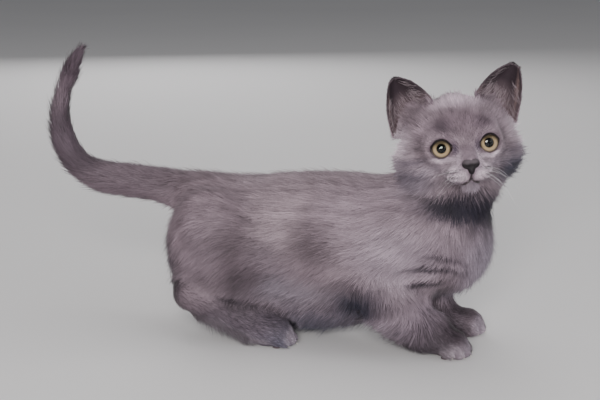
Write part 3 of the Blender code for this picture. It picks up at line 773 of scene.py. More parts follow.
def new_mesh(name, points, faces):
    """A smooth mesh from arrays of places in millimetres and faces of one size."""
    mesh = bpy.data.meshes.new(name)
    sides = faces.shape[1]
    mesh.vertices.add(len(points))
    mesh.vertices.foreach_set("co", ((points + SHIFT) * MM).astype(np.float32).ravel())
    mesh.loops.add(faces.size)
    mesh.loops.foreach_set("vertex_index", faces.astype(np.int32).ravel())
    mesh.polygons.add(len(faces))
    mesh.polygons.foreach_set("loop_start", np.arange(0, faces.size, sides, dtype=np.int32))
    mesh.update(calc_edges=True)
    mesh.shade_smooth()
    return mesh


def add_attribute(mesh, name, kind, values):
    field = {"FLOAT_VECTOR": "vector", "FLOAT_COLOR": "color"}[kind]
    mesh.attributes.new(name, kind, "POINT").data.foreach_set(field, values.astype(np.float32).ravel())


def piece(name, points, faces, look, replaces=()):
    obj = new_object(name, new_mesh(name, points, faces))
    obj.data.materials.append(look)
    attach(obj, "root")
    if replaces:
        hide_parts(*replaces)
    return obj


# Materials
class Value:
    """A socket of a material. Arithmetic on it adds Math nodes."""

    def __init__(self, look, socket):
        self.look, self.socket = look, socket

    def math(self, operation, *others):
        return self.look.add("ShaderNodeMath", {"operation": operation}, self, *others)

    def __add__(self, other):
        return self.math("ADD", other)

    def __mul__(self, other):
        return self.math("MULTIPLY", other)

    def __sub__(self, other):
        return self.math("SUBTRACT", other)

    def __rsub__(self, other):
        return self.look.add("ShaderNodeMath", {"operation": "SUBTRACT"}, other, self)

    def __truediv__(self, other):
        return self.math("DIVIDE", other)

    __radd__, __rmul__ = __add__, __mul__


class Look:
    """A material made in code."""

    def __init__(self, name, **constants):
        self.material = bpy.data.materials.new(name)
        self.material.use_nodes = True
        self.tree = self.material.node_tree
        self.shader = self.tree.nodes["Principled BSDF"]
        for socket, value in constants.items():
            self.shader.inputs[socket.replace("_", " ")].default_value = value

    def add(self, kind, settings, *inputs, output=0, **named):
        """Adds a node, sets it up, fills its inputs with numbers or links, and gives one output."""
        node = self.tree.nodes.new(kind)
        for setting, value in settings.items():
            if setting == "stops":
                for index, (place, colour) in enumerate(value):
                    stops = node.color_ramp.elements
                    stop = stops[index] if index < 2 else stops.new(place)
                    stop.position, stop.color = place, (*colour, 1)
            else:
                setattr(node, setting, value)
        pairs = [*enumerate(inputs), *((key.replace("_", " "), value) for key, value in named.items())]
        for key, value in pairs:
            if isinstance(value, Value):
                self.tree.links.new(value.socket, node.inputs[key])
            elif value is not None:
                node.inputs[key].default_value = value
        return Value(self, node.outputs[output])

    def feed(self, socket, value):
        self.tree.links.new(value.socket, self.shader.inputs[socket.replace("_", " ")])

    def place(self):
        return self.add("ShaderNodeTexCoord", {}, output="Object")

    def attribute(self, name, output="Vector"):
        return self.add("ShaderNodeAttribute", {"attribute_name": name}, output=output)

    def vector(self, operation, *inputs, output=0, **named):
        return self.add("ShaderNodeVectorMath", {"operation": operation}, *inputs, output=output, **named)

    def split(self, vector):
        """The x, y and z of a vector."""
        node = self.add("ShaderNodeSeparateXYZ", {}, vector).socket.node
        return [Value(self, output) for output in node.outputs]

    def mapped(self, place, turn, at):
        """The place in millimetres in a frame with this turn and middle, both in the kitten's frame."""
        inverse = turn.T
        location = -(inverse @ (at + SHIFT))
        rotation = Matrix(inverse.tolist()).to_euler()
        return self.add("ShaderNodeMapping", {}, place, tuple(location), tuple(rotation), (1 / MM,) * 3)

    def inside(self, place, at, radii, soft):
        """1 inside an ellipsoid and 0 outside, with a soft edge."""
        reach = self.vector("SUBTRACT", place, tuple(float(v) for v in at))
        reach = self.vector("DIVIDE", reach, tuple(float(v) for v in radii))
        reach = self.vector("LENGTH", reach, output="Value")
        settings = {"interpolation_type": "SMOOTHSTEP"}
        return self.add("ShaderNodeMapRange", settings, reach, 1 + soft, 1 - soft, 0.0, 1.0)

    def blend(self, share, first, second, mode="MIX"):
        """A mix of two colours, each a link or a tuple."""
        node = self.tree.nodes.new("ShaderNodeMix")
        node.data_type, node.blend_type = "RGBA", mode
        for index, value in ((0, share), (6, first), (7, second)):
            if isinstance(value, Value):
                self.tree.links.new(value.socket, node.inputs[index])
            else:
                node.inputs[index].default_value = (*value, 1) if isinstance(value, tuple) else value
        return Value(self, node.outputs[2])

    def noise(self, place, scale, detail=2.0, roughness=0.5, output=0):
        sockets = dict(Vector=place, Scale=scale, Detail=detail, Roughness=roughness)
        return self.add("ShaderNodeTexNoise", {}, output=output, **sockets)

    def stirred(self, place, scale, detail, reach):
        """The place, moved by noise up to this far each way."""
        noise = self.noise(place, scale, detail=detail, output="Color")
        shift = self.vector("MULTIPLY_ADD", noise, (2 * reach,) * 3, (-reach,) * 3)
        return self.vector("ADD", place, shift)

    def bump(self, height, distance, strength):
        normal = self.add("ShaderNodeBump", {}, Strength=strength, Distance=distance, Height=height)
        self.feed("Normal", normal)

    def folded(self, place):
        """The same place with y made positive, for marks that are alike on both sides."""
        x, y, z = self.split(place)
        return self.add("ShaderNodeCombineXYZ", {}, x, y.math("ABSOLUTE"), z)


# Markings and painted shade: middle, radii, softness, colour and strength
PLAIN_GREY = (0.215, 0.172, 0.192)
BODY_MARKS = [
    ((10, 0, 100), (95, 36, 20), 0.5, (0.265, 0.218, 0.236), 0.7),
    ((-56, 0, 92), (24, 44, 22), 0.6, (0.165, 0.13, 0.145), 0.7),
    ((0, 38, 75), (17, 40, 17), 0.8, (0.33, 0.27, 0.29), 0.75),
    ((58, 38, 78), (34, 44, 26), 0.5, (0.28, 0.228, 0.255), 0.85),
    ((66, 38, 58), (20, 24, 16), 0.6, (0.26, 0.22, 0.252), 0.7),
    ((-6, 38, 50), (15, 30, 13), 0.6, (0.12, 0.098, 0.113), 0.75),
    ((4, 38, 36), (28, 30, 9), 0.7, (0.155, 0.142, 0.165), 0.7),
    ((-25, 38, 56), (11, 40, 19), 0.9, (0.085, 0.065, 0.075), 0.75),
    ((-21, 38, 42), (11, 24, 11), 0.8, (0.05, 0.038, 0.045), 0.75),
    ((20, 38, 62), (13, 40, 15), 0.9, (0.085, 0.065, 0.074), 0.7),
    # Painted shade under the belly, tinted blue, where the coat faces down
    ((12, 0, 2), (66, 50, 17), 0.5, (0.05, 0.064, 0.1), 0.85),
    # Painted shadow behind the elbow, between belly and foreleg, and a band of painted shade along the
    # belly's lower edge
    ((44, 36, 31), (14, 30, 11), 0.8, (0.012, 0.015, 0.027), 0.95),
    ((20, 38, 19), (30, 24, 8), 0.8, (0.05, 0.056, 0.08), 0.7),
    # A darker rump: partly its own colour, partly painted shade where the rump turns from the light
    ((-77, 0, 42), (24, 46, 27), 0.4, (0.035, 0.031, 0.038), 0.85),
    ((-46, 38, 52), (13, 24, 18), 0.7, (0.125, 0.1, 0.115), 0.6),
    ((-34, 29, 15), (35, 18, 14), 0.5, (0.062, 0.051, 0.062), 0.85),
    ((-46, 33, 12), (10, 12, 5), 0.6, (0.3, 0.265, 0.295), 0.6),
    ((-31, 33, 7), (10, 12, 4), 0.6, (0.3, 0.265, 0.295), 0.6),
    ((-18, 33, 3), (8, 12, 3), 0.6, (0.3, 0.265, 0.295), 0.6),
    ((60, 30, 17), (13, 18, 9), 0.6, (0.5, 0.45, 0.49), 0.75),
    ((74, 28, 7), (13, 18, 6), 0.6, (0.4, 0.355, 0.39), 0.7),
    ((6, 27, 7), (7, 16, 9), 0.4, (0.28, 0.25, 0.28), 0.8),
    ((70, 28, 24), (20, 18, 16), 0.6, (0.128, 0.104, 0.125), 0.8),
    ((86, 14, 62), (18, 34, 12), 0.6, (0.19, 0.155, 0.18), 0.7),
    ((108, 5, 56), (13, 30, 22), 0.7, (0.225, 0.2, 0.235), 0.85),
    # Painted shade on the underside of the chest
    ((94, 0, 34), (18, 24, 9), 0.7, (0.05, 0.048, 0.064), 0.85),
    # Painted shadow on the throat under the chin
    ((101, 0, 84), (15, 23, 9), 0.7, (0.007, 0.007, 0.014), 0.94),
    ((84, 24, 10), (22, 20, 13), 0.5, (0.038, 0.03, 0.037), 0.88),
    ((105, 22, 4), (7, 18, 9), 0.5, (0.3, 0.265, 0.3), 0.8),
    ((96, 35, 3), (8, 8, 6), 0.5, (0.36, 0.32, 0.35), 0.75),
    ((-100, 0, 86), (30, 16, 14), 0.5, (0.14, 0.11, 0.127), 0.8),
    ((-134, 0, 108), (22, 20, 24), 0.5, (0.07, 0.053, 0.066), 0.88),
    ((-138, 0, 152), (14, 16, 26), 0.6, (0.085, 0.062, 0.078), 0.9),
]
# Painted shade with crisp edges: dark partings of the fur on the front of each shoulder, and the crease
# between hind foot and thigh
CRISP_SHADE_MARKS = [
    ((90, 28, 61), (9, 14, 1.3), 0.8, (0.02, 0.017, 0.023), 0.9),
    ((85, 30, 53.5), (14, 16, 1.4), 0.8, (0.015, 0.013, 0.018), 0.92),
    ((79, 32, 45), (13, 14, 1.5), 0.8, (0.015, 0.013, 0.018), 0.92),
    ((-29, 38, 29.5), (9, 14, 2.4), 0.9, (0.012, 0.01, 0.014), 0.9),
    ((-16, 38, 25.5), (9, 14, 2.6), 0.9, (0.012, 0.01, 0.014), 0.9),
    ((-3, 38, 20), (8, 12, 3), 0.9, (0.012, 0.01, 0.014), 0.9),
]
HEAD_MARKS = [
    ((13, 0, 25.5), (10, 17, 5.5), 0.7, (0.52, 0.43, 0.485), 0.9),
    ((-2, 0, 33), (16, 20, 5), 0.7, (0.3, 0.25, 0.28), 0.7),
    ((23, 0, 13), (9, 12, 8), 0.6, (0.155, 0.118, 0.138), 0.8),
    ((19, 20, 13), (7, 6, 7), 0.7, (0.36, 0.285, 0.325), 0.7),
    ((24, 10.5, 12.5), (6, 5, 3.4), 0.8, (0.07, 0.052, 0.065), 0.75),
    ((4, 34, 4), (14, 10, 11), 0.6, (0.6, 0.52, 0.57), 0.88),
    ((12, 26, -13), (14, 12, 8), 0.6, (0.2, 0.18, 0.21), 0.6),
    ((13, 27, -4), (11, 9, 1.6), 0.9, (0.08, 0.07, 0.09), 0.6),
    ((10, 28, -11), (12, 9, 1.8), 0.9, (0.07, 0.06, 0.08), 0.6),
    ((6, 29, -16), (12, 9, 8), 0.7, (0.14, 0.125, 0.15), 0.5),
    ((3, 23, 36), (12, 13, 12), 0.4, (0.075, 0.056, 0.065), 0.85),
    # Painted shadow under the chin
    ((8, 0, -28), (18, 24, 8), 0.5, (0.01, 0.009, 0.017), 0.95),
    ((24.5, 12.5, -4.2), (6, 6.6, 1.5), 0.6, (0.55, 0.475, 0.52), 0.8),
    ((23, 17.5, -8.5), (7, 6, 2.6), 0.7, (0.24, 0.205, 0.235), 0.7),
    ((29.5, 4.6, -4.5), (4.5, 2.4, 5), 0.6, (0.55, 0.47, 0.52), 0.8),
    ((34, 0, -2.6), (6, 3.4, 3.0), 0.7, (0.31, 0.255, 0.285), 0.8),
    # Painted shade in the inner corner of each eye, towards the nose
    ((26.5, 5.8, 1.2), (3.5, 1.6, 3.2), 0.7, (0.05, 0.037, 0.06), 0.8),
    ((30, 8, -11.0), (7, 7.2, 4.0), 0.6, (0.58, 0.5, 0.55), 0.85),
    ((32, 9.4, -9.4), (7, 4.2, 0.55), 0.7, (0.02, 0.016, 0.02), 0.95),
    ((32, 9.4, -12.0), (7, 4.6, 0.55), 0.7, (0.02, 0.016, 0.02), 0.95),
    ((32, 8.8, -14.5), (7, 4.4, 0.5), 0.7, (0.02, 0.016, 0.02), 0.9),
    ((27, 10, -17), (7, 5.5, 3.2), 0.7, (0.12, 0.105, 0.125), 0.8),
    ((28, 0, -19.5), (5.5, 4.6, 3.2), 0.8, (0.25, 0.22, 0.255), 0.85),
    # Painted shade under the chin's lower edge
    ((25, 0, -24), (8, 9, 3.0), 0.7, (0.04, 0.037, 0.05), 0.9),
]
# Painted shade on the cat's left cheek and jaw, the side turned from the light
LEFT_SHADE_MARKS = [
    ((13.5, 23.5, -15), (8, 8, 7), 0.7, (0.01, 0.013, 0.024), 0.93),
    ((0, 31, -14), (9, 9, 9), 0.7, (0.045, 0.045, 0.065), 0.7),
]
CUP_SKIN = (0.085, 0.061, 0.07)
CUP_TOP = (0.034, 0.024, 0.03)
CUP_BASE = (0.11, 0.077, 0.086)
CUP_HAIR = (0.3, 0.238, 0.262)
RIM_TAN = (0.23, 0.155, 0.15)
WHITE_HAIR = (0.75, 0.73, 0.75)
DARK_HAIR = (0.035, 0.028, 0.033)
HORN = (0.72, 0.66, 0.62)
LID_DARK = (0.008, 0.006, 0.007)
LID_GREY = (0.018, 0.013, 0.015)
LID_BROWN = (0.11, 0.08, 0.085)
NOSE_DARK = (0.012, 0.009, 0.011)
NOSE_GREY = (0.09, 0.073, 0.084)
PAD_SKIN = (0.09, 0.065, 0.075)
LIP_DARK = (0.035, 0.024, 0.028)
BODY_STIR, HEAD_STIR = 4.5, 1.2  # how far noise moves the markings' edges
IRIS_SPAN = 5.7  # the radius that the iris's rings are shares of


def coat_colour(look, place):
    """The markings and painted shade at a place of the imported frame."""
    steady = look.mapped(place, np.eye(3), np.zeros(3))
    body = look.folded(look.stirred(steady, 0.09, 3.0, BODY_STIR))
    steady = look.folded(steady)
    unfolded = look.stirred(look.mapped(place, HEAD_TURN, HEAD_AT), 0.35, 2.0, HEAD_STIR)
    head = look.folded(unfolded)
    colour = PLAIN_GREY
    sets = ((body, BODY_MARKS), (steady, CRISP_SHADE_MARKS), (head, HEAD_MARKS), (unfolded, LEFT_SHADE_MARKS))
    for local, marks in sets:
        for at, radii, soft, paint, strength in marks:
            colour = look.blend(look.inside(local, at, radii, soft) * strength, colour, paint)
    cloud = look.noise(body, 0.05, detail=2.0)
    colour = look.blend(0.5, colour, look.blend(cloud, (0.36, 0.36, 0.36), (0.64, 0.64, 0.64)), "OVERLAY")
    fleck = look.noise(body, 0.7, detail=3.0, roughness=0.7)
    x, y, z = look.split(head)
    around = (z + 3.0).math("ARCTAN2", y)
    ray = look.add("ShaderNodeCombineXYZ", {}, around * 11.0, x * 0.15, 0.0)
    on_head = look.inside(head, (0, 0, 0), (40, 38, 36), 0.1)
    streak = look.noise(ray, 1.0, detail=3.0, roughness=0.6) * on_head
    tint = (fleck * 1.1 + 0.45) * (streak * 0.9 + 1.0)
    tint = tint * (1.0 - on_head * 0.3)
    colour = look.vector("MULTIPLY", colour, (1.0, 0.955, 1.0))
    return look.vector("SCALE", colour, Scale=tint)


def coat_look():
    look = Look("coat", Roughness=0.65, Specular_IOR_Level=0.2, Sheen_Weight=0.08, Sheen_Roughness=0.5)
    colour = coat_colour(look, look.attribute("root"))
    colour = look.blend(look.attribute("dye", "Alpha"), colour, look.attribute("dye", "Color"))
    share, tone, _ = look.split(look.attribute("lay"))
    # Each tuft is darker at its root and lighter at its tip: partly the hair's own ticking, partly painted
    # shade deep in the coat
    ticking_and_root_shade = {"stops": [(0.0, (0.36,) * 3), (1.0, (1.36,) * 3), (0.4, (0.86,) * 3)]}
    depth = look.add("ShaderNodeValToRGB", ticking_and_root_shade, share)
    tint = look.vector("SCALE", depth, Scale=tone)
    look.feed("Base_Color", look.vector("MULTIPLY", colour, tint))
    return look.material


def skin_look():
    look = Look("skin", Roughness=0.75, Specular_IOR_Level=0.15)
    place = look.place()
    colour = coat_colour(look, place)
    colour = look.vector("MULTIPLY", colour, (0.62, 0.6, 0.62))
    colour = look.blend(look.attribute("dye", "Alpha"), colour, look.attribute("dye", "Color"))
    look.feed("Base_Color", colour)
    look.bump(look.noise(place, 1400.0, detail=2.0), 0.0003, 0.6)
    return look.material


def plain_look(name, colour, roughness, grain, distance, spread_of=0.35):
    """A skin or horn of one colour with a fine grain."""
    look = Look(name)
    place = look.place()
    spots = look.noise(place, grain, detail=3.0)
    dark = tuple(c * (1 - spread_of) for c in colour)
    light = tuple(min(c * (1 + spread_of), 1) for c in colour)
    look.feed("Base_Color", look.blend(spots, dark, light))
    look.feed("Roughness", spots * 0.2 + (roughness - 0.1))
    cells = look.add("ShaderNodeTexVoronoi", {"feature": "SMOOTH_F1"}, Vector=place, Scale=grain)
    look.bump(cells, distance, 0.7)
    return look.material


def iris_look(side):
    """The iris, pupil and white of one eye, by how far a place is from the eye's axis, with painted shade
    from the upper lid over the iris's top.
    """
    look = Look("eyeball", Roughness=0.5, Specular_IOR_Level=0.0)
    turn, at = eye_turn(side)
    local = look.mapped(look.place(), turn, at)
    _, y, z = look.split(local)
    around = z.math("ARCTAN2", y)
    reach = (y * y + z * z).math("SQRT")
    flat = look.add("ShaderNodeCombineXYZ", {}, around * 2.2, reach * 0.5, 0.0)
    fibres = look.noise(flat, 5.5, detail=4.0, roughness=0.65)
    edge = reach + (fibres - 0.5) * 0.5
    stops = [
        (0.0, (0.002, 0.002, 0.004)),
        (0.365, (0.002, 0.002, 0.004)),
        (0.395, (0.16, 0.11, 0.055)),
        (0.44, (0.6, 0.445, 0.255)),
        (0.60, (0.68, 0.51, 0.31)),
        (0.70, (0.37, 0.28, 0.175)),
        (0.80, (0.11, 0.083, 0.06)),
        (0.90, (0.03, 0.02, 0.02)),
    ]
    colour = look.add("ShaderNodeValToRGB", {"stops": stops}, edge / IRIS_SPAN)
    shade = look.blend(fibres, (0.6, 0.6, 0.56), (1.3, 1.3, 1.3))
    # Painted shade from the upper lid: the iris darkens towards its top
    painted_lid_shade = look.add("ShaderNodeMapRange", {"interpolation_type": "SMOOTHSTEP"}, z, -0.8, 3.4, 1.0, 0.18)
    colour = look.vector("SCALE", look.vector("MULTIPLY", colour, shade), Scale=painted_lid_shade)
    look.feed("Base_Color", colour)
    look.bump(fibres, 0.0002, 0.4)
    return look.material


# The coat
def tail_lie(points):
    x, z, _ = tail_line()
    line = np.stack([x, np.zeros_like(x), z], axis=-1)
    runs = unit(np.gradient(line, axis=0))
    near = np.array([np.linalg.norm(points - place, axis=-1) for place in line]).argmin(axis=0)
    return runs[near]


# The lie of the hair: middle, radii, softness and direction
BODY_LIE = [
    ((20, 0, 40), (80, 70, 26), 0.5, (-0.8, 0, -0.55)),
    ((20, 0, 12), (70, 60, 18), 0.5, (-0.45, 0, -0.9)),
    ((-50, 0, 44), (34, 60, 34), 0.4, (-0.8, 0, -0.6)),
    ((-70, 0, 50), (20, 50, 40), 0.5, (-0.35, 0, -0.95)),
    ((66, 0, 66), (26, 60, 26), 0.4, (-0.85, 0, -0.5)),
    ((84, 0, 80), (24, 50, 20), 0.4, (-0.5, 0, -0.85)),
    ((102, 0, 52), (20, 50, 34), 0.4, (0.0, 0, -1.0)),
]
FACE_FROM = np.array([31.0, 0, -3.0])  # the hair of the face runs out from here


def lie_at(points):
    """The way that the hair points, before it is laid on the skin."""
    way = np.tile(np.array([-1.0, 0, -0.12]), (len(points), 1))
    for at, radii, soft, aim in BODY_LIE:
        way += (np.array(aim) - way) * soft_inside(points, at, radii, soft)[:, None]
    for fore, start, end in leg_lines():
        aim = unit(end - start) + ((-0.35, 0, -0.2) if fore else (0, 0, 0))
        share = soft_along(points, start, end, 20 if fore else 12.2, 0.3 if fore else 0.12)[:, None]
        way += (aim - way) * share
        if fore:
            way += ((-0.45, 0, -0.85) - way) * arm_fringe(points, start, end)[:, None]
        else:
            way += ((0.7, 0, -0.7) - way) * foot_fringe(points, start, end)[:, None]
    for _, at, heading, _ in paws():
        ahead = way_of(heading, -0.25)
        way += (ahead - way) * soft_inside(points, np.array(at) + ahead * 5, (17, 14, 12), 0.3)[:, None]
    for side, _ in SIDES:
        share = soft_inside(points, mirrored(FRINGE[0], side), FRINGE[1], 0.4)[:, None]
        way += ((-0.75, 0.25 * side, -0.6) - way) * share
    share = np.clip((-66 - points[:, 0]) / 14, 0, 1)[:, None] * (points[:, 2:] > 60)
    way += (tail_lie(points) - way) * share
    local = in_head(points)
    face = unit(local - FACE_FROM) @ HEAD_TURN.T
    share = soft_inside(local, (2, 0, 2), (44, 44, 34), 0.15)[:, None]
    way += (face - way) * share
    return unit(way)


def swirl(points, scale, seeds):
    """A smooth random vector field, from a few waves."""
    total = np.zeros_like(points)
    for _ in range(seeds):
        wave = random.normal(size=3) / scale
        total += np.sin(points @ wave + random.uniform(0, 2 * math.pi))[:, None] * random.normal(size=3)
    return total / math.sqrt(seeds)


def thinned(name, mesh, ratio):
    """An object with a mesh of triangles, thinned to this share."""
    obj = new_object(name, mesh)
    thin = obj.modifiers.new("thin", "DECIMATE")
    thin.ratio = ratio
    thin.use_collapse_triangulate = True
    graph = bpy.context.evaluated_depsgraph_get()
    mesh = bpy.data.meshes.new_from_object(obj.evaluated_get(graph))
    obj.modifiers.clear()
    obj.data = mesh
    return obj


def arrays_of(mesh):
    """The places, in metres, and the triangles of a mesh."""
    places = np.zeros(len(mesh.vertices) * 3, np.float32)
    mesh.vertices.foreach_get("co", places)
    corners = np.zeros(len(mesh.polygons) * 3, np.int32)
    mesh.loops.foreach_get("vertex_index", corners)
    return places.reshape(-1, 3).astype(float), corners.reshape(-1, 3)


UNWRAP_TRIANGLES = 9000


class Unwrap:
    """A flat unwrap of the skin's own shape, that gives each root its place on the bake."""

    def __init__(self, points, faces):
        obj = thinned("unwrap", new_mesh("unwrap", points, faces), UNWRAP_TRIANGLES / len(faces))
        mesh = obj.data
        bpy.context.view_layer.objects.active = obj
        obj.select_set(True)
        bpy.ops.object.mode_set(mode="EDIT")
        bpy.ops.mesh.select_all(action="SELECT")
        bpy.ops.uv.smart_project(angle_limit=math.radians(60), island_margin=0.006)
        bpy.ops.object.mode_set(mode="OBJECT")
        places, faces = arrays_of(mesh)
        flat = np.zeros(faces.size * 2, np.float32)
        mesh.uv_layers.active.data.foreach_get("uv", flat)
        self.corners, self.flat = places[faces], flat.reshape(-1, 3, 2).astype(float)
        self.tree = BVHTree.FromPolygons(places.tolist(), faces.tolist())
        bpy.data.objects.remove(obj)

    def at(self, points):
        found = [self.tree.find_nearest(place) for place in (points + SHIFT) * MM]
        face = np.array([hit[2] for hit in found])
        place = np.array([hit[0][:] for hit in found])
        a, b, c = (self.corners[face, k] for k in range(3))
        ab, ac, ap = b - a, c - a, place - a
        d00, d01, d11 = ((p * q).sum(1) for p, q in ((ab, ab), (ab, ac), (ac, ac)))
        d20, d21 = (ap * ab).sum(1), (ap * ac).sum(1)
        span = np.maximum(d00 * d11 - d01**2, 1e-20)
        v, w = (d11 * d20 - d01 * d21) / span, (d00 * d21 - d01 * d20) / span
        share = np.clip(np.stack([1 - v - w, v, w], axis=-1), 0, 1)
        return (self.flat[face] * share[..., None]).sum(axis=1)


GATHER = 10  # tufts to each clump
PATCH = 0.0015  # half of a tuft's patch on the unwrap
SINK = 0.5  # how far a root is sunk in the skin
BENDS = {1: (0.4,), 2: (0.34, 0.68)}  # where a tuft of one or two bends is widest
SOFTNESS = 0.6  # how far the shading of a tuft follows the skin under it


def spindle(bends):
    """The faces of a tuft: a point, a ring of three at each bend, and a point."""
    last = 3 * bends + 1
    faces = [(0, 1 + (k + 1) % 3, 1 + k) for k in range(3)]
    for ring in range(1, last - 3, 3):
        for k in range(3):
            a, b = ring + k, ring + (k + 1) % 3
            faces += [(a, b, b + 3), (a, b + 3, a + 3)]
    faces += [(last - 3 + k, last - 3 + (k + 1) % 3, last) for k in range(3)]
    return np.array(faces)[:, ::-1]


def spindle_patch(bends):
    places = [(0, -1)]
    for share in BENDS[bends]:
        places += [(-0.9, 2 * share - 1), (0.9, 2 * share - 1), (0, 2 * share - 0.8)]
    return np.array([*places, (0, 1)]) * PATCH


class Tufts:
    """Many tufts: roots, normals, the way each lies, and its traits."""

    def __init__(self, roots, normals, ways, coat):
        self.roots, self.normals, self.coat = roots, normals, coat
        self.ways = unit(ways - normals * (ways * normals).sum(1)[:, None])
        self.dyes = np.zeros((len(roots), 4))
        self.tones = np.ones(len(roots))

    def __len__(self):
        return len(self.roots)

    def chosen(self, mask):
        part = Tufts(self.roots[mask], self.normals[mask], self.ways[mask], {})
        part.coat = {trait: values[mask] for trait, values in self.coat.items()}
        part.tones, part.dyes = self.tones[mask], self.dyes[mask]
        return part

    def spines(self, bends):
        """Places along each tuft's middle, from its root to its tip."""
        rise, fall = self.coat["rise"], self.coat["fall"]
        length = self.coat["length"][:, None]
        shares = [0.0, *BENDS[bends], 1.0]
        place = self.roots - self.normals * SINK
        spine = [place]
        for number, (near, far) in enumerate(zip(shares, shares[1:])):
            angle = np.radians(rise + (fall - rise) * number / bends)[:, None]
            place = place + (self.ways * np.cos(angle) + self.normals * np.sin(angle)) * length * (far - near)
            spine.append(place)
        return spine

    def mesh(self, bends):
        spine = drawn_together(self.spines(bends), self.coat["pull"])
        side = unit(np.cross(self.ways, self.normals))
        out = np.cross(side, unit(spine[-1] - spine[0]))
        out *= np.sign((out * self.normals).sum(1))[:, None]
        width = self.coat["width"][:, None]
        layers, shading = [spine[0]], [self.normals]
        for number, middle in enumerate(spine[1:-1]):
            half = width * (1 - 0.25 * number)
            layers += [middle - side * half, middle + side * half, middle + out * half * 0.9]
            shading += [-side, side, out]
        layers.append(spine[-1])
        shading.append(out)
        points = np.stack(layers, axis=1)
        count, each = points.shape[:2]
        shading = np.stack(shading, axis=1) * (1 - SOFTNESS) + self.normals[:, None] * SOFTNESS
        faces, patch = spindle(bends), spindle_patch(bends)
        along_tuft = [0.0, *np.repeat(BENDS[bends], 3), 1.0]
        shares, tones = np.tile(along_tuft, count), np.repeat(self.tones, each)
        lay = np.stack([shares, tones, np.zeros(count * each)], axis=-1)
        return {
            "points": points.reshape(-1, 3),
            "faces": (faces[None] + np.arange(count)[:, None, None] * each).reshape(-1, 3),
            "shading": unit(shading).reshape(-1, 3),
            "root": np.repeat((self.roots + SHIFT) * MM, each, axis=0),
            "lay": lay,
            "dye": np.repeat(self.dyes, each, axis=0),
            "roots": self.roots,
            "patch": patch,
        }


def drawn_together(spine, pull):
    """Draws the tips of neighbouring tufts towards one of them, as hair clumps."""
    root = spine[0]
    count = len(root)
    picked = random.permutation(count)[: max(count // GATHER, 1)]
    tree = KDTree(len(picked))
    for number in picked:
        tree.insert(root[number], int(number))
    tree.balance()
    leader = np.array([tree.find(place)[1] for place in root])
    drawn = [root]
    for number, place in enumerate(spine[1:], 1):
        share = pull[:, None] * (number / (len(spine) - 1)) ** 1.3
        drawn.append(place + (place[leader] - place) * share)
    return drawn


def no_coat(points, normals):
    """Where no tuft grows: eyes and their sockets, nose, mouth and soles."""
    bare = points[:, 2] < BARE_SOLE
    bare |= (points[:, 2] < BARE_EDGE) & (normals[:, 2] < -0.6)
    for side, _ in SIDES:
        local = in_eye(points, side)
        bare |= (opening_reach(local, side) < BARE_LIDS) & (local[:, 0] > 0)
        bare |= np.linalg.norm(local, axis=-1) < EYE_R - 0.2
    near = np.linalg.norm(in_head(points) - NOSE_AT, axis=-1) < 9
    bare[near] |= nose_field(points[near]) < BARE_NOSE
    bare[near] |= groove_field(points[near]) < BARE_LIPS
    return bare


def nose_field(points):
    local = in_head(points) - NOSE_AT
    masses = [both(local, NOSE_WING), ellipsoid(local, *NOSE_FOOT), ellipsoid(local, *NOSE_TOP)]
    pad = melted(masses, NOSE_MELT)
    nostrils = []
    for side, _ in SIDES:
        inner, outer = mirrored(NOSTRIL["inner"], side), mirrored(NOSTRIL["outer"], side)
        nostrils.append(round_cone(local, inner, outer, NOSTRIL["inner_r"], NOSTRIL["outer_r"]))
    return -melt(-pad, np.minimum(*nostrils), NOSTRIL_MELT)


# No tufts stand under the first height, nor under the second where the skin faces down, nor within
# these reaches of the lids' opening, the nose and the lips
BARE_SOLE, BARE_EDGE = 1.4, 3.0
BARE_LIDS, BARE_NOSE, BARE_LIPS = 1.13, 0.5, 0.35
EAR_BACK = dict(depth=1.0, length=2.6, width=0.14, rise=20, fall=4, crowd=5.4, stray=0.1, pull=0.15)
SKIN_TRIANGLES = 190000
COAT_PAST = ((-6, -2, 0.15), (6, 2, 4))  # how far tufts may pass the solids' box, low and high
TUFT_SPREAD = dict(length=(0.72, 1.18), rise=(0.7, 1.3), fall=(0.5, 1.5), width=(0.75, 1.2))
GUARD_SHARE = 0.1  # of the long tufts, those that stand out past the rest
GUARD_LENGTH = 6  # shorter tufts have no such hairs
GUARD = dict(length=1.22, width=0.8, pull=0.6)  # how their traits differ from the rest
GUARD_TONE = 0.14
STREAK = 0.15  # how much the tone differs from clump to clump
UNDERSIDE = ((30, 0, 14), (84, 60, 26))  # where pale wisps stand over dark hair
EAR_CUP = dict(depth=1.0, length=2.4, width=0.11, rise=22, fall=8, crowd=7.0, stray=0.2, pull=0.2)


class Skin:
    """The skin's mesh, and where tufts can stand on it."""

    def __init__(self):
        points, quads = make_skin()
        whole = thinned("skin", new_mesh("skin", points, quads), SKIN_TRIANGLES / (2 * len(quads)))
        places, self.faces = arrays_of(whole.data)
        self.points = places / MM - SHIFT
        bpy.data.objects.remove(whole)
        self.normals = vertex_normals(self.points, self.faces)
        for _ in range(3):
            self.normals = self.softened(self.normals)
        self.unwrap = Unwrap(self.points, self.faces)

    def softened(self, vectors):
        total = vectors.copy()
        for k in range(3):
            for n in range(3):
                around = vectors[self.faces[:, k - 1], n] + vectors[self.faces[:, k - 2], n]
                total[:, n] += np.bincount(self.faces[:, k], around, len(vectors)) * 0.5
        return unit(total)

    def sown(self, crowd):
        """Roots and normals at random, evenly spread, with this many for each square millimetre."""
        a, b, c = (self.points[self.faces[:, k]] for k in range(3))
        area = np.linalg.norm(np.cross(b - a, c - a), axis=1) / 2
        expected = np.cumsum(area * crowd((a + b + c) / 3))
        picks = np.searchsorted(expected, np.arange(random.uniform(), expected[-1], 1.0))
        u, v = random.uniform(size=(2, len(picks), 1))
        over = u + v > 1
        u, v = np.where(over, 1 - u, u), np.where(over, 1 - v, v)
        corners = self.faces[picks]
        share = (1 - u - v, u, v)
        roots = sum(self.points[corners[:, k]] * share[k] for k in range(3))
        normals = unit(sum(self.normals[corners[:, k]] * share[k] for k in range(3)))
        return roots, normals


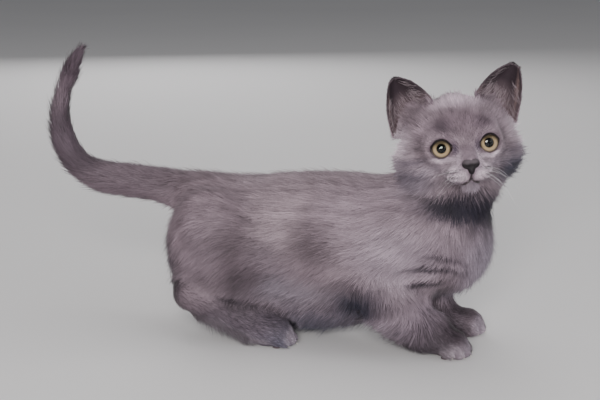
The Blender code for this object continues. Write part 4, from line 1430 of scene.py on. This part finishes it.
def grown(roots, normals, coat, ways):
    """Tufts with the natural spread of length, rise and direction."""
    tufts = Tufts(roots, normals, ways, coat)
    count = len(tufts)
    stray = coat["stray"][:, None]
    waves = swirl(roots, 9.0, 5) * 0.5 + swirl(roots, 3.5, 5) * 0.35
    tufts.ways = unit(tufts.ways + (waves + random.normal(size=(count, 3)) * 0.9) * stray)
    lift = (tufts.ways * normals).sum(1)[:, None]
    tufts.ways = unit(tufts.ways - normals * lift)
    for trait, (low, high) in TUFT_SPREAD.items():
        coat[trait] = coat[trait] * random.uniform(low, high, count)
    streaks = swirl(roots * (0.35, 1.0, 1.0), 1.3, 6)[:, 0] * STREAK
    tufts.tones = 1 + np.clip(streaks, -0.35, 0.35) + random.uniform(-0.17, 0.17, count)
    low = soft_inside(roots, *UNDERSIDE, 0.4)
    tufts.tones += low * (random.uniform(size=count) ** 3 - 0.2) * 1.4
    return tufts


REGIONS = (
    "coat_face",
    "coat_crown_left",
    "coat_crown_right",
    "coat_ears",
    "coat_neck_chest",
    "coat_back",
    "coat_flank_right",
    "coat_flank_left",
    "coat_belly",
    "coat_haunch_left",
    "coat_haunch_right",
    "coat_tail",
    "coat_forelegs",
    "coat_feet",
)


def region_of(points, normals):
    """The number of the piece that each root belongs to."""
    x, y, z = points.T
    local = in_head(points)
    head = skull_field(local) < np.maximum(torso_field(points), -3) + 2
    head &= (z > 84) & (x > 48)
    ears = EARS.field(points) < 1.2
    ears &= (local[:, 2] > 14) | (np.abs(local[:, 1]) > 30)
    ears &= skull_field(local) > -3.0
    feet = np.zeros(len(points), bool)
    legs = np.zeros(len(points), bool)
    haunch = np.zeros(len(points), bool)
    for side, _ in SIDES:
        mine = y * side > 0
        feet |= mine & (hindfoot_field(points, side) < -0.2) & (z < 22)
        legs |= mine & (foreleg_field(points, side) < 0) & (z < 52)
        haunch |= mine & (haunch_field(points, side) < 2)
    for _, at, heading, fore in paws():
        feet |= (np.linalg.norm(points - at, axis=1) < 20) & (z < 17) & fore
    back = (z > 84) & (normals[:, 2] > 0.35)
    belly = (z < 40) & (normals[:, 2] < -0.25)
    tests = [
        (head & ears, "coat_ears"),
        (head & (local[:, 0] > 14), "coat_face"),
        (head & (local[:, 1] > 0), "coat_crown_left"),
        (head, "coat_crown_right"),
        ((x < -74) & (z > 60), "coat_tail"),
        (feet, "coat_feet"),
        (legs, "coat_forelegs"),
        (haunch & (y > 0), "coat_haunch_left"),
        (haunch, "coat_haunch_right"),
        (x > 66, "coat_neck_chest"),
        (back, "coat_back"),
        (belly, "coat_belly"),
        (y < 0, "coat_flank_right"),
    ]
    numbers = [REGIONS.index(name) for _, name in tests]
    return np.select([test for test, _ in tests], numbers, REGIONS.index("coat_flank_left"))


def joined(parts):
    """Joins arrays of tufts into one mesh's arrays."""
    offset, faces, flats = 0, [], []
    for part in parts:
        faces.append(part["faces"] + offset)
        offset += len(part["points"])
        flat = skin.unwrap.at(part["roots"])
        flats.append((flat[:, None] + part["patch"]).reshape(-1, 2))
    keys = ("points", "shading", "root", "lay", "dye")
    whole = {key: np.concatenate([part[key] for part in parts]) for key in keys}
    return whole, np.concatenate(faces), np.concatenate(flats)


def coat_piece(name, parts):
    whole, faces, flats = joined(parts)
    points = whole["points"]
    low, high = (np.array(corner) / MM - SHIFT + past for corner, past in zip(cad_box, COAT_PAST))
    points = np.clip(points, low, high)
    obj = piece(name, points, faces, COAT)
    obj.data.normals_split_custom_set_from_vertices(whole["shading"])
    add_attribute(obj.data, "root", "FLOAT_VECTOR", whole["root"])
    add_attribute(obj.data, "lay", "FLOAT_VECTOR", whole["lay"])
    add_attribute(obj.data, "dye", "FLOAT_COLOR", whole["dye"])
    layer = obj.data.uv_layers.new(name="OFBake")
    layer.data.foreach_set("uv", flats[faces.ravel()].astype(np.float32).ravel())


def near_ears(places):
    return (EARS.field(places) < 1.0) & (skull_field(in_head(places)) > 0.5)


def cup_dyes(places, normals):
    """Colour and strength of the dye on the ears' skin at these places."""
    dyes = np.zeros((len(places), 4))
    near = np.flatnonzero(near_ears(places))
    nearest = EARS.nearest(places[near])
    across, up = nearest[:, 1:2], nearest[:, 2:3]
    facing = (nearest[:, 3:] * normals[near]).sum(1)
    colour = np.tile(np.array(CUP_SKIN), (len(near), 1))

    def paint(share, shade):
        return colour + (np.array(shade) - colour) * np.clip(share, 0, 1)

    colour = paint((0.3 - up) / 0.25, CUP_BASE)
    colour = paint((up - 0.3) / 0.25, CUP_TOP)
    colour = paint(np.minimum((up - 0.1) / 0.2, (-0.2 - across) / 0.3) * 0.8, CUP_TOP)
    colour = paint(1 - np.abs(across - 0.82) / 0.14 - np.abs(up - 0.55) * 1.6, RIM_TAN)
    dyes[near, :3] = colour
    dyes[near, 3] = np.clip(facing * 3 + 0.3, 0, 1)
    return dyes


def grow_coat():
    def crowd(places):
        coat = coat_at(places, ("crowd",))["crowd"]
        return np.where(near_ears(places), EAR_BACK["crowd"], coat)

    roots, normals = skin.sown(crowd)
    keep = ~no_coat(roots, normals)
    roots, normals = roots[keep], normals[keep]
    coat = coat_at(roots)
    on_ear = near_ears(roots)
    nearest = np.zeros((len(roots), 6))
    nearest[on_ear] = EARS.nearest(roots[on_ear])
    cup = on_ear & ((nearest[:, 3:] * normals).sum(1) > 0.1)
    for trait in TRAITS:
        coat[trait] = np.where(cup, EAR_CUP[trait], np.where(on_ear, EAR_BACK[trait], coat[trait]))
    ways = lie_at(roots)
    for side, _ in SIDES:
        mine = on_ear & (nearest[:, 0] == side)
        across, up = nearest[mine, 1], nearest[mine, 2]
        over, rising = (unit(run) for run in ear_runs(across, up, side, 0.02))
        ways[mine] = unit(rising + over * cup[mine][:, None] * 0.8) @ HEAD_TURN.T
    tufts = grown(roots, normals, coat, ways)
    tufts.dyes = cup_dyes(roots, normals) * (1.15, 1.15, 1.15, 1.0)
    region = region_of(roots, normals)
    long = (tufts.coat["length"] > GUARD_LENGTH) & (random.uniform(size=len(tufts)) < GUARD_SHARE)
    for trait, times in GUARD.items():
        tufts.coat[trait][long] *= times
    tufts.tones[long] += GUARD_TONE
    for number, name in enumerate(REGIONS):
        masks = [(bends, mask & (region == number)) for bends, mask in ((2, long), (1, ~long))]
        coat_piece(name, [tufts.chosen(mask).mesh(bends) for bends, mask in masks if mask.any()])


# Eyes, lids, nose and mouth
def turned(profile, sides, turn, at):
    """A closed surface of revolution about the local x axis, from places of x and radius."""
    angles = np.arange(sides) * 2 * math.pi / sides
    circle = np.stack([np.zeros(sides), np.cos(angles), np.sin(angles)], axis=-1)
    points, faces, rings = [], [], []
    for x, radius in profile:
        start = len(points)
        if radius < 1e-6:
            points.append((x, 0, 0))
            rings.append([start] * sides)
        else:
            points.extend(circle * radius + (x, 0, 0))
            rings.append(list(range(start, start + sides)))
    for low, high in zip(rings, rings[1:]):
        for k in range(sides):
            a, b, c, d = low[k - 1], low[k], high[k], high[k - 1]
            for face in ((a, b, c), (a, c, d)):
                if len(set(face)) == 3:
                    faces.append(face)
    return np.array(points) @ turn.T + at, np.array(faces)


def tube(line, radii, sides=6):
    """A closed tube along a line, pointed or round at its ends as the radii say."""
    line = np.asarray(line, float)
    run = unit(np.gradient(line, axis=0))
    across = unit(np.cross(run, (0.31, 0.52, 0.79)))
    up = np.cross(run, across)
    angles = np.arange(sides) * 2 * math.pi / sides
    ring = across[:, None] * np.cos(angles)[:, None] + up[:, None] * np.sin(angles)[:, None]
    points = line[:, None] + ring * np.asarray(radii, float)[:, None, None]
    index = np.arange(len(line) * sides).reshape(len(line), sides)
    after = np.roll(index, -1, axis=1)
    a, b, c, d = index[:-1], after[:-1], after[1:], index[1:]
    faces = np.concatenate([np.stack([a, b, c], -1).reshape(-1, 3), np.stack([a, c, d], -1).reshape(-1, 3)])
    first, last = index[0], index[-1]
    caps = [(first[0], first[k + 1], first[k]) for k in range(1, sides - 1)]
    caps += [(last[0], last[k], last[k + 1]) for k in range(1, sides - 1)]
    return points.reshape(-1, 3), np.concatenate([faces, np.array(caps)])


def piece_of(parts, name, look):
    """One piece from several closed meshes."""
    points, faces, offset = [], [], 0
    for part_points, part_faces in parts:
        points.append(part_points)
        faces.append(part_faces + offset)
        offset += len(part_points)
    piece(name, np.concatenate(points), np.concatenate(faces), look)


BALL_R = EYE_R - 0.2
IRIS_R, IRIS_X = 5.75, 5.9
PUPIL_R = 1.8
EYE_SIDES = 48
LENS_BACK = 3.0  # the clear lens reaches this far back inside the ball


def eyeball_profile():
    """From the back of the ball round to the iris, the pupil's rim and the bottom of the pupil."""
    rim = math.asin(IRIS_R / BALL_R)
    angles = np.linspace(math.pi, rim, 24)
    profile = [(BALL_R * math.cos(angle), BALL_R * math.sin(angle)) for angle in angles]
    profile[0] = (-BALL_R, 0)
    profile += [(IRIS_X, IRIS_R - 0.25)]
    for share in np.linspace(0.1, 1, 8):
        profile.append((IRIS_X - 0.5 * share, IRIS_R - 0.3 + (PUPIL_R - IRIS_R + 0.3) * share))
    return profile + [(IRIS_X - 0.7, PUPIL_R - 0.12), (IRIS_X - 1.6, PUPIL_R - 0.2), (IRIS_X - 1.7, 0)]


def cornea_profile():
    """A clear lens over the iris, whose back is hidden in the ball."""
    radii = np.linspace(IRIS_R + 0.35, 0, 22)

    def outer(radius):
        bulge = math.sqrt(max(CORNEA_R**2 - radius**2, 0)) + CORNEA_LEAD
        return max(bulge, math.sqrt(EYE_R**2 - radius**2))

    front = [(outer(radius), radius) for radius in radii]
    return [(LENS_BACK, 0), (LENS_BACK, IRIS_R + 0.1), *front]


def make_eyes():
    clear = Look("cornea", Roughness=0.0, IOR=1.38, Transmission_Weight=1.0, Specular_IOR_Level=0.5)
    clear.shader.inputs["Base Color"].default_value = (1, 1, 1, 1)
    for side, word in SIDES:
        turn, at = eye_turn(side)
        points, faces = turned(eyeball_profile(), EYE_SIDES, turn, at)
        piece("eyeball_" + word, points, faces, iris_look(side), ("eye_" + word,))
        points, faces = turned(cornea_profile(), EYE_SIDES, turn, at)
        piece("cornea_" + word, points, faces, clear.material)


def lid_line(side, radius, count=64):
    """Places round the lids' rim, from the temple over the upper lid, and how far up each is."""
    angles = np.arange(count) * 2 * math.pi / count
    half_width, tilt, inward = lid_corner(angles, side)
    y, z = np.cos(angles) * half_width, np.sin(angles) * OPENING[1] + tilt
    x = np.sqrt(np.maximum(radius**2 - y**2 - z**2, 1))
    return np.stack([x, y, z], axis=-1), np.sin(angles), inward


def lid_look():
    """Bare skin, near black above the eyes and brown below them."""
    look = Look("lid", Roughness=0.5, Specular_IOR_Level=0.1)
    place = look.place()
    local = look.mapped(place, HEAD_TURN, HEAD_AT)
    _, _, height = look.split(local)
    above = look.add("ShaderNodeMapRange", {}, height, EYE_AT[2] - 1.0, EYE_AT[2] + 1.5, 0.0, 1.0)
    grain = look.noise(place, 1500.0)
    look.feed("Base_Color", look.blend(above, LID_BROWN, look.blend(grain, LID_DARK, LID_GREY)))
    look.bump(grain, 0.0001, 0.5)
    return look.material


def nose_look():
    """Fine-grained leather, grey on top and near black round the nostrils."""
    look = Look("nose_leather", Specular_IOR_Level=0.2)
    place = look.place()
    local = look.mapped(place, HEAD_TURN, out_of_head(NOSE_AT))
    _, _, height = look.split(local)
    above = look.add("ShaderNodeMapRange", {"interpolation_type": "SMOOTHSTEP"}, height, 0.6, 2.8, 0.0, 1.0)
    cells = look.add("ShaderNodeTexVoronoi", {"feature": "SMOOTH_F1"}, Vector=place, Scale=2600.0)
    look.feed("Base_Color", look.blend(above, NOSE_DARK, NOSE_GREY))
    look.feed("Roughness", cells * 0.2 + 0.48)
    look.bump(cells, 0.0002, 0.6)
    return look.material


def make_lids():
    """The dark bare margins of the lids, thicker above and at the inner corner."""
    parts = []
    for side, _ in SIDES:
        turn, at = eye_turn(side)
        line, up, inward = lid_line(side, EYE_R + 0.28)
        radii = 0.2 + 0.45 * np.clip(up + 0.12, 0, 1) ** 0.9 + 0.22 * inward
        line = np.concatenate([line, line[:2]])
        radii = np.concatenate([radii, radii[:2]])
        parts.append(tube(line @ turn.T + at, radii, 8))
    piece_of(parts, "lids", lid_look())


def make_nose():
    middle = out_of_head(NOSE_AT)
    axes = [np.arange(middle[k] - 8, middle[k] + 8, 0.3) for k in range(3)]
    places = np.stack(np.meshgrid(*axes, indexing="ij"), axis=-1)
    points, quads = surfaced(nose_field(places), axes)
    piece("nose", points, quads, nose_look(), ("nose_pad",))


def make_mouth():
    parts = []
    for line in mouth_lines():
        places = on_face(line[:, 0], line[:, 1], MOUTH_SINK)
        share = np.linspace(-1, 1, len(places))
        radii = 0.5 * np.sqrt(np.maximum(1 - share**4, 0.02))
        parts.append(tube(out_of_head(places), radii, 6))
    piece_of(parts, "mouth", plain_look("lip", LIP_DARK, 0.4, 1500.0, 0.0001))


# Whiskers, ear hair, claws and pads
WHISKER_ROWS = (-9.8, -11.6, -13.4)
ROOT_ROWS, ROOT_COLUMNS = (-9.5, -11.9, -14.2), (6.8, 9.0, 11.2)
EAR_HAIRS = 260  # in each ear


def whisker(start, aim, sag, length, thick, steps=10):
    """A tapered hair from a place along an aim, bent by a sag. All are in the head's own frame."""
    share = np.linspace(0, 1, steps)[:, None]
    line = start + unit(np.array(aim, float)) * length * share + np.array(sag, float) * length * share**2
    radii = thick * (1 - 0.88 * share[:, 0] ** 1.2)
    return tube(out_of_head(line), radii, 5)


def make_whiskers():
    parts = []
    for side, _ in SIDES:
        for row, z in enumerate(WHISKER_ROWS):
            for column in range(2):
                y = 6.4 + column * 2.6 + random.uniform(-0.5, 0.5)
                start = on_face(np.array([y * side]), np.array([z - column * 0.3]), 0.9)[0]
                length = random.uniform(17, 25) if side == LEFT else random.uniform(13, 18)
                aim = (0.1 - 0.15 * column, side, -0.05 - 0.2 * row + random.uniform(-0.12, 0.12))
                droop = random.uniform(-0.85, -0.5) if side == LEFT else random.uniform(-0.35, -0.1)
                thick = random.uniform(0.045, 0.06) if side == LEFT else 0.035
                parts.append(whisker(start, aim, (-0.15, -0.2 * side, droop), length, thick))
    look = plain_look("whisker", WHITE_HAIR, 0.35, 800.0, 0.00002, 0.05)
    piece_of(parts, "whiskers", look)


def whisker_roots():
    """Rows of short dark hairs that lie on the whisker pads."""
    parts = []
    for side, _ in SIDES:
        for z in ROOT_ROWS:
            for y in ROOT_COLUMNS:
                start = np.array([y * side, z]) + random.normal(size=2) * (0.15, 0.08)
                run = np.linspace(0, random.uniform(1.1, 1.5), 5)
                line = on_face(start[0] + side * run, start[1] + 0.08 * run, 0.15)
                parts.append(tube(out_of_head(line), (0.04, 0.1, 0.11, 0.08, 0.03), 3))
    look = plain_look("whisker_root", DARK_HAIR, 0.6, 800.0, 0.00002, 0.2)
    piece_of(parts, "whisker_roots", look)


def ear_fringe():
    """Long pale hairs from the edges of each ear, that sweep over the cup."""
    parts = []
    for side, _ in SIDES:
        count = EAR_HAIRS
        group = random.uniform(size=count)
        medial = group < 0.1
        base = group > 0.25
        across = np.where(medial, random.uniform(-1, -0.72, count), random.uniform(0.75, 1.0, count))
        up = np.where(medial, random.uniform(0.0, 0.8, count) ** 1.2, random.uniform(0.0, 0.55, count))
        across = np.where(base, random.uniform(-0.8, 0.6, count), across)
        up = np.where(base, random.uniform(-0.02, 0.26, count), up)
        du, dv = (unit(run) for run in ear_runs(across, up, side, 0.02))
        normal = ear_normals(across, up, side)
        root = ear_sheet(across, up, side) + normal * 0.5
        over = np.where(medial, 1.0, np.where(base, random.uniform(-0.3, 0.5, count), -0.7))[:, None]
        rise = np.where(base, 1.1, random.uniform(0.35, 0.8, count))[:, None]
        aim = unit(du * over + dv * rise + normal * random.uniform(0.35, 0.75, (count, 1)))
        aim = unit(aim + random.normal(size=(count, 3)) * 0.1)
        length = np.where(medial, random.uniform(6, 10, count), random.uniform(3.5, 6.5, count))
        length = length * (1 - 0.35 * up)
        for k in range(count):
            share = np.linspace(0, 1, 6)[:, None]
            bend = dv[k] * 0.25 - normal[k] * 0.3
            line = root[k] + aim[k] * length[k] * share + bend * length[k] * share**2
            radii = random.uniform(0.07, 0.13) * (1 - 0.9 * share[:, 0] ** 1.5)
            parts.append(tube(out_of_head(line), radii, 3))
    look = plain_look("ear_hair", CUP_HAIR, 0.5, 600.0, 0.00002, 0.2)
    piece_of(parts, "ear_fringe", look)


def blob(at, radii, turn=0.0, rings=8):
    angles = np.linspace(0, math.pi, rings + 1)
    profile = [(math.cos(angle), math.sin(angle)) for angle in angles]
    profile[0], profile[-1] = (1, 0), (-1, 0)
    points, faces = turned(profile, 2 * rings, np.eye(3), 0)
    c, s, _ = way_of(turn)
    spin = np.array([(c, -s, 0), (s, c, 0), (0, 0, 1)])
    return (points * radii) @ spin.T + at, faces[:, ::-1]


def make_feet():
    """Bare pads under each foot and a small claw at each toe."""
    pads, claws = [], []
    for _, at, heading, _ in paws():
        ahead = way_of(heading)
        middle = np.array([at[0], at[1], 0.85])
        pads.append(blob(middle + ahead * 1.5, (5.2, 5.6, 0.85), heading))
        for (x, y, _), toe_heading in toe_places(at, heading):
            toe_ahead = way_of(toe_heading)
            pads.append(blob(np.array([x, y, 0.6]) - toe_ahead * 1.6, (2.3, 1.5, 0.6), toe_heading))
            start = np.array([x, y, 3.0]) + toe_ahead * 4.2
            share = np.linspace(0, 1, 5)[:, None]
            line = start + toe_ahead * 2.6 * share - np.array([0, 0, 1.0]) * 1.5 * share**2
            claws.append(tube(line, 0.42 * (1 - 0.85 * share[:, 0]), 6))
    piece_of(pads, "pads", plain_look("pad", PAD_SKIN, 0.6, 1800.0, 0.0002))
    piece_of(claws, "claws", plain_look("claw", HORN, 0.3, 500.0, 0.00003, 0.1))


# Floor, light and camera
FLOOR = 3000  # half of the floor's side


def make_stage():
    corners = ((-FLOOR, -FLOOR), (FLOOR, -FLOOR), (FLOOR, FLOOR), (-FLOOR, FLOOR))
    points = np.array([(x, y, 0) for x, y in corners]) - SHIFT
    mesh = new_mesh("floor", points, np.array([(0, 1, 2, 3)]))
    floor = new_object("floor", mesh)
    look = Look("floor", Roughness=0.8, Specular_IOR_Level=0.2)
    place = look.place()
    look.feed("Base_Color", look.blend(look.noise(place, 3.0), (0.74, 0.72, 0.73), (0.78, 0.765, 0.77)))
    floor.data.materials.append(look.material)
    floor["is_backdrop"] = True


AIM = Vector((0.01364, 0.00199, 0.0795))
AZIMUTH, ELEVATION, DISTANCE = 14, 12, 0.82  # of the camera, in degrees and metres
LENS, SENSOR = 85, 36
# Name, place, size, power and colour
LIGHTS = (
    ("key", (0.24, -1.26, 0.48), 0.46, 19, (1.0, 0.98, 0.96)),
    ("fill", (1.3, -0.5, 0.45), 1.55, 7, (0.95, 0.98, 1.0)),
    ("top", (0.0, 0.35, 1.3), 1.35, 6, (1.0, 0.99, 0.97)),
    ("back", (-0.5, 1.2, 0.6), 0.9, 5, (1.0, 1.0, 1.0)),
)


def softbox(name, at, size, power, colour):
    light = bpy.data.lights.new(name, "AREA")
    light.shape, light.size = "DISK", size
    light.energy, light.color = power, colour
    obj = bpy.data.objects.new(name, light)
    bpy.context.scene.collection.objects.link(obj)
    obj.location = at
    obj.rotation_euler = (AIM - Vector(at)).to_track_quat("-Z", "Y").to_euler()


def make_camera():
    azimuth, elevation = math.radians(AZIMUTH), math.radians(ELEVATION)
    level = math.cos(elevation)
    back = Vector((math.sin(azimuth) * level, -math.cos(azimuth) * level, math.sin(elevation)))
    camera = bpy.data.cameras.new("camera")
    camera.lens, camera.sensor_width = LENS, SENSOR
    obj = bpy.data.objects.new("camera", camera)
    bpy.context.scene.collection.objects.link(obj)
    obj.location = AIM + back * DISTANCE
    obj.rotation_euler = back.to_track_quat("Z", "Y").to_euler()
    bpy.context.scene.camera = obj


def make_lights():
    for light in LIGHTS:
        softbox(*light)
    world = bpy.data.worlds.new("room")
    world.use_nodes = True
    world.node_tree.nodes["Background"].inputs[0].default_value = (0.95, 0.97, 1.0, 1)
    world.node_tree.nodes["Background"].inputs[1].default_value = 0.2
    bpy.context.scene.world = world


FLESH = ["torso", "neck", "head", "tail_root", "tail_middle", "tail_tip"]
PAIRED = ("ear_", "foreleg_", "forepaw_", "thigh_", "hindfoot_")
FLESH += [part + word for part in PAIRED for _, word in SIDES]
COAT, SKIN = coat_look(), skin_look()
skin = Skin()
covering = piece("skin", skin.points, skin.faces, SKIN, FLESH)
add_attribute(covering.data, "dye", "FLOAT_COLOR", cup_dyes(skin.points, skin.normals))
grow_coat()
make_eyes()
make_lids()
make_nose()
make_mouth()
make_whiskers()
whisker_roots()
ear_fringe()
make_feet()
make_stage()
make_camera()
make_lights()
box_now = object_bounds()
[[list(corner) for corner in box] for box in (cad_box, box_now)]
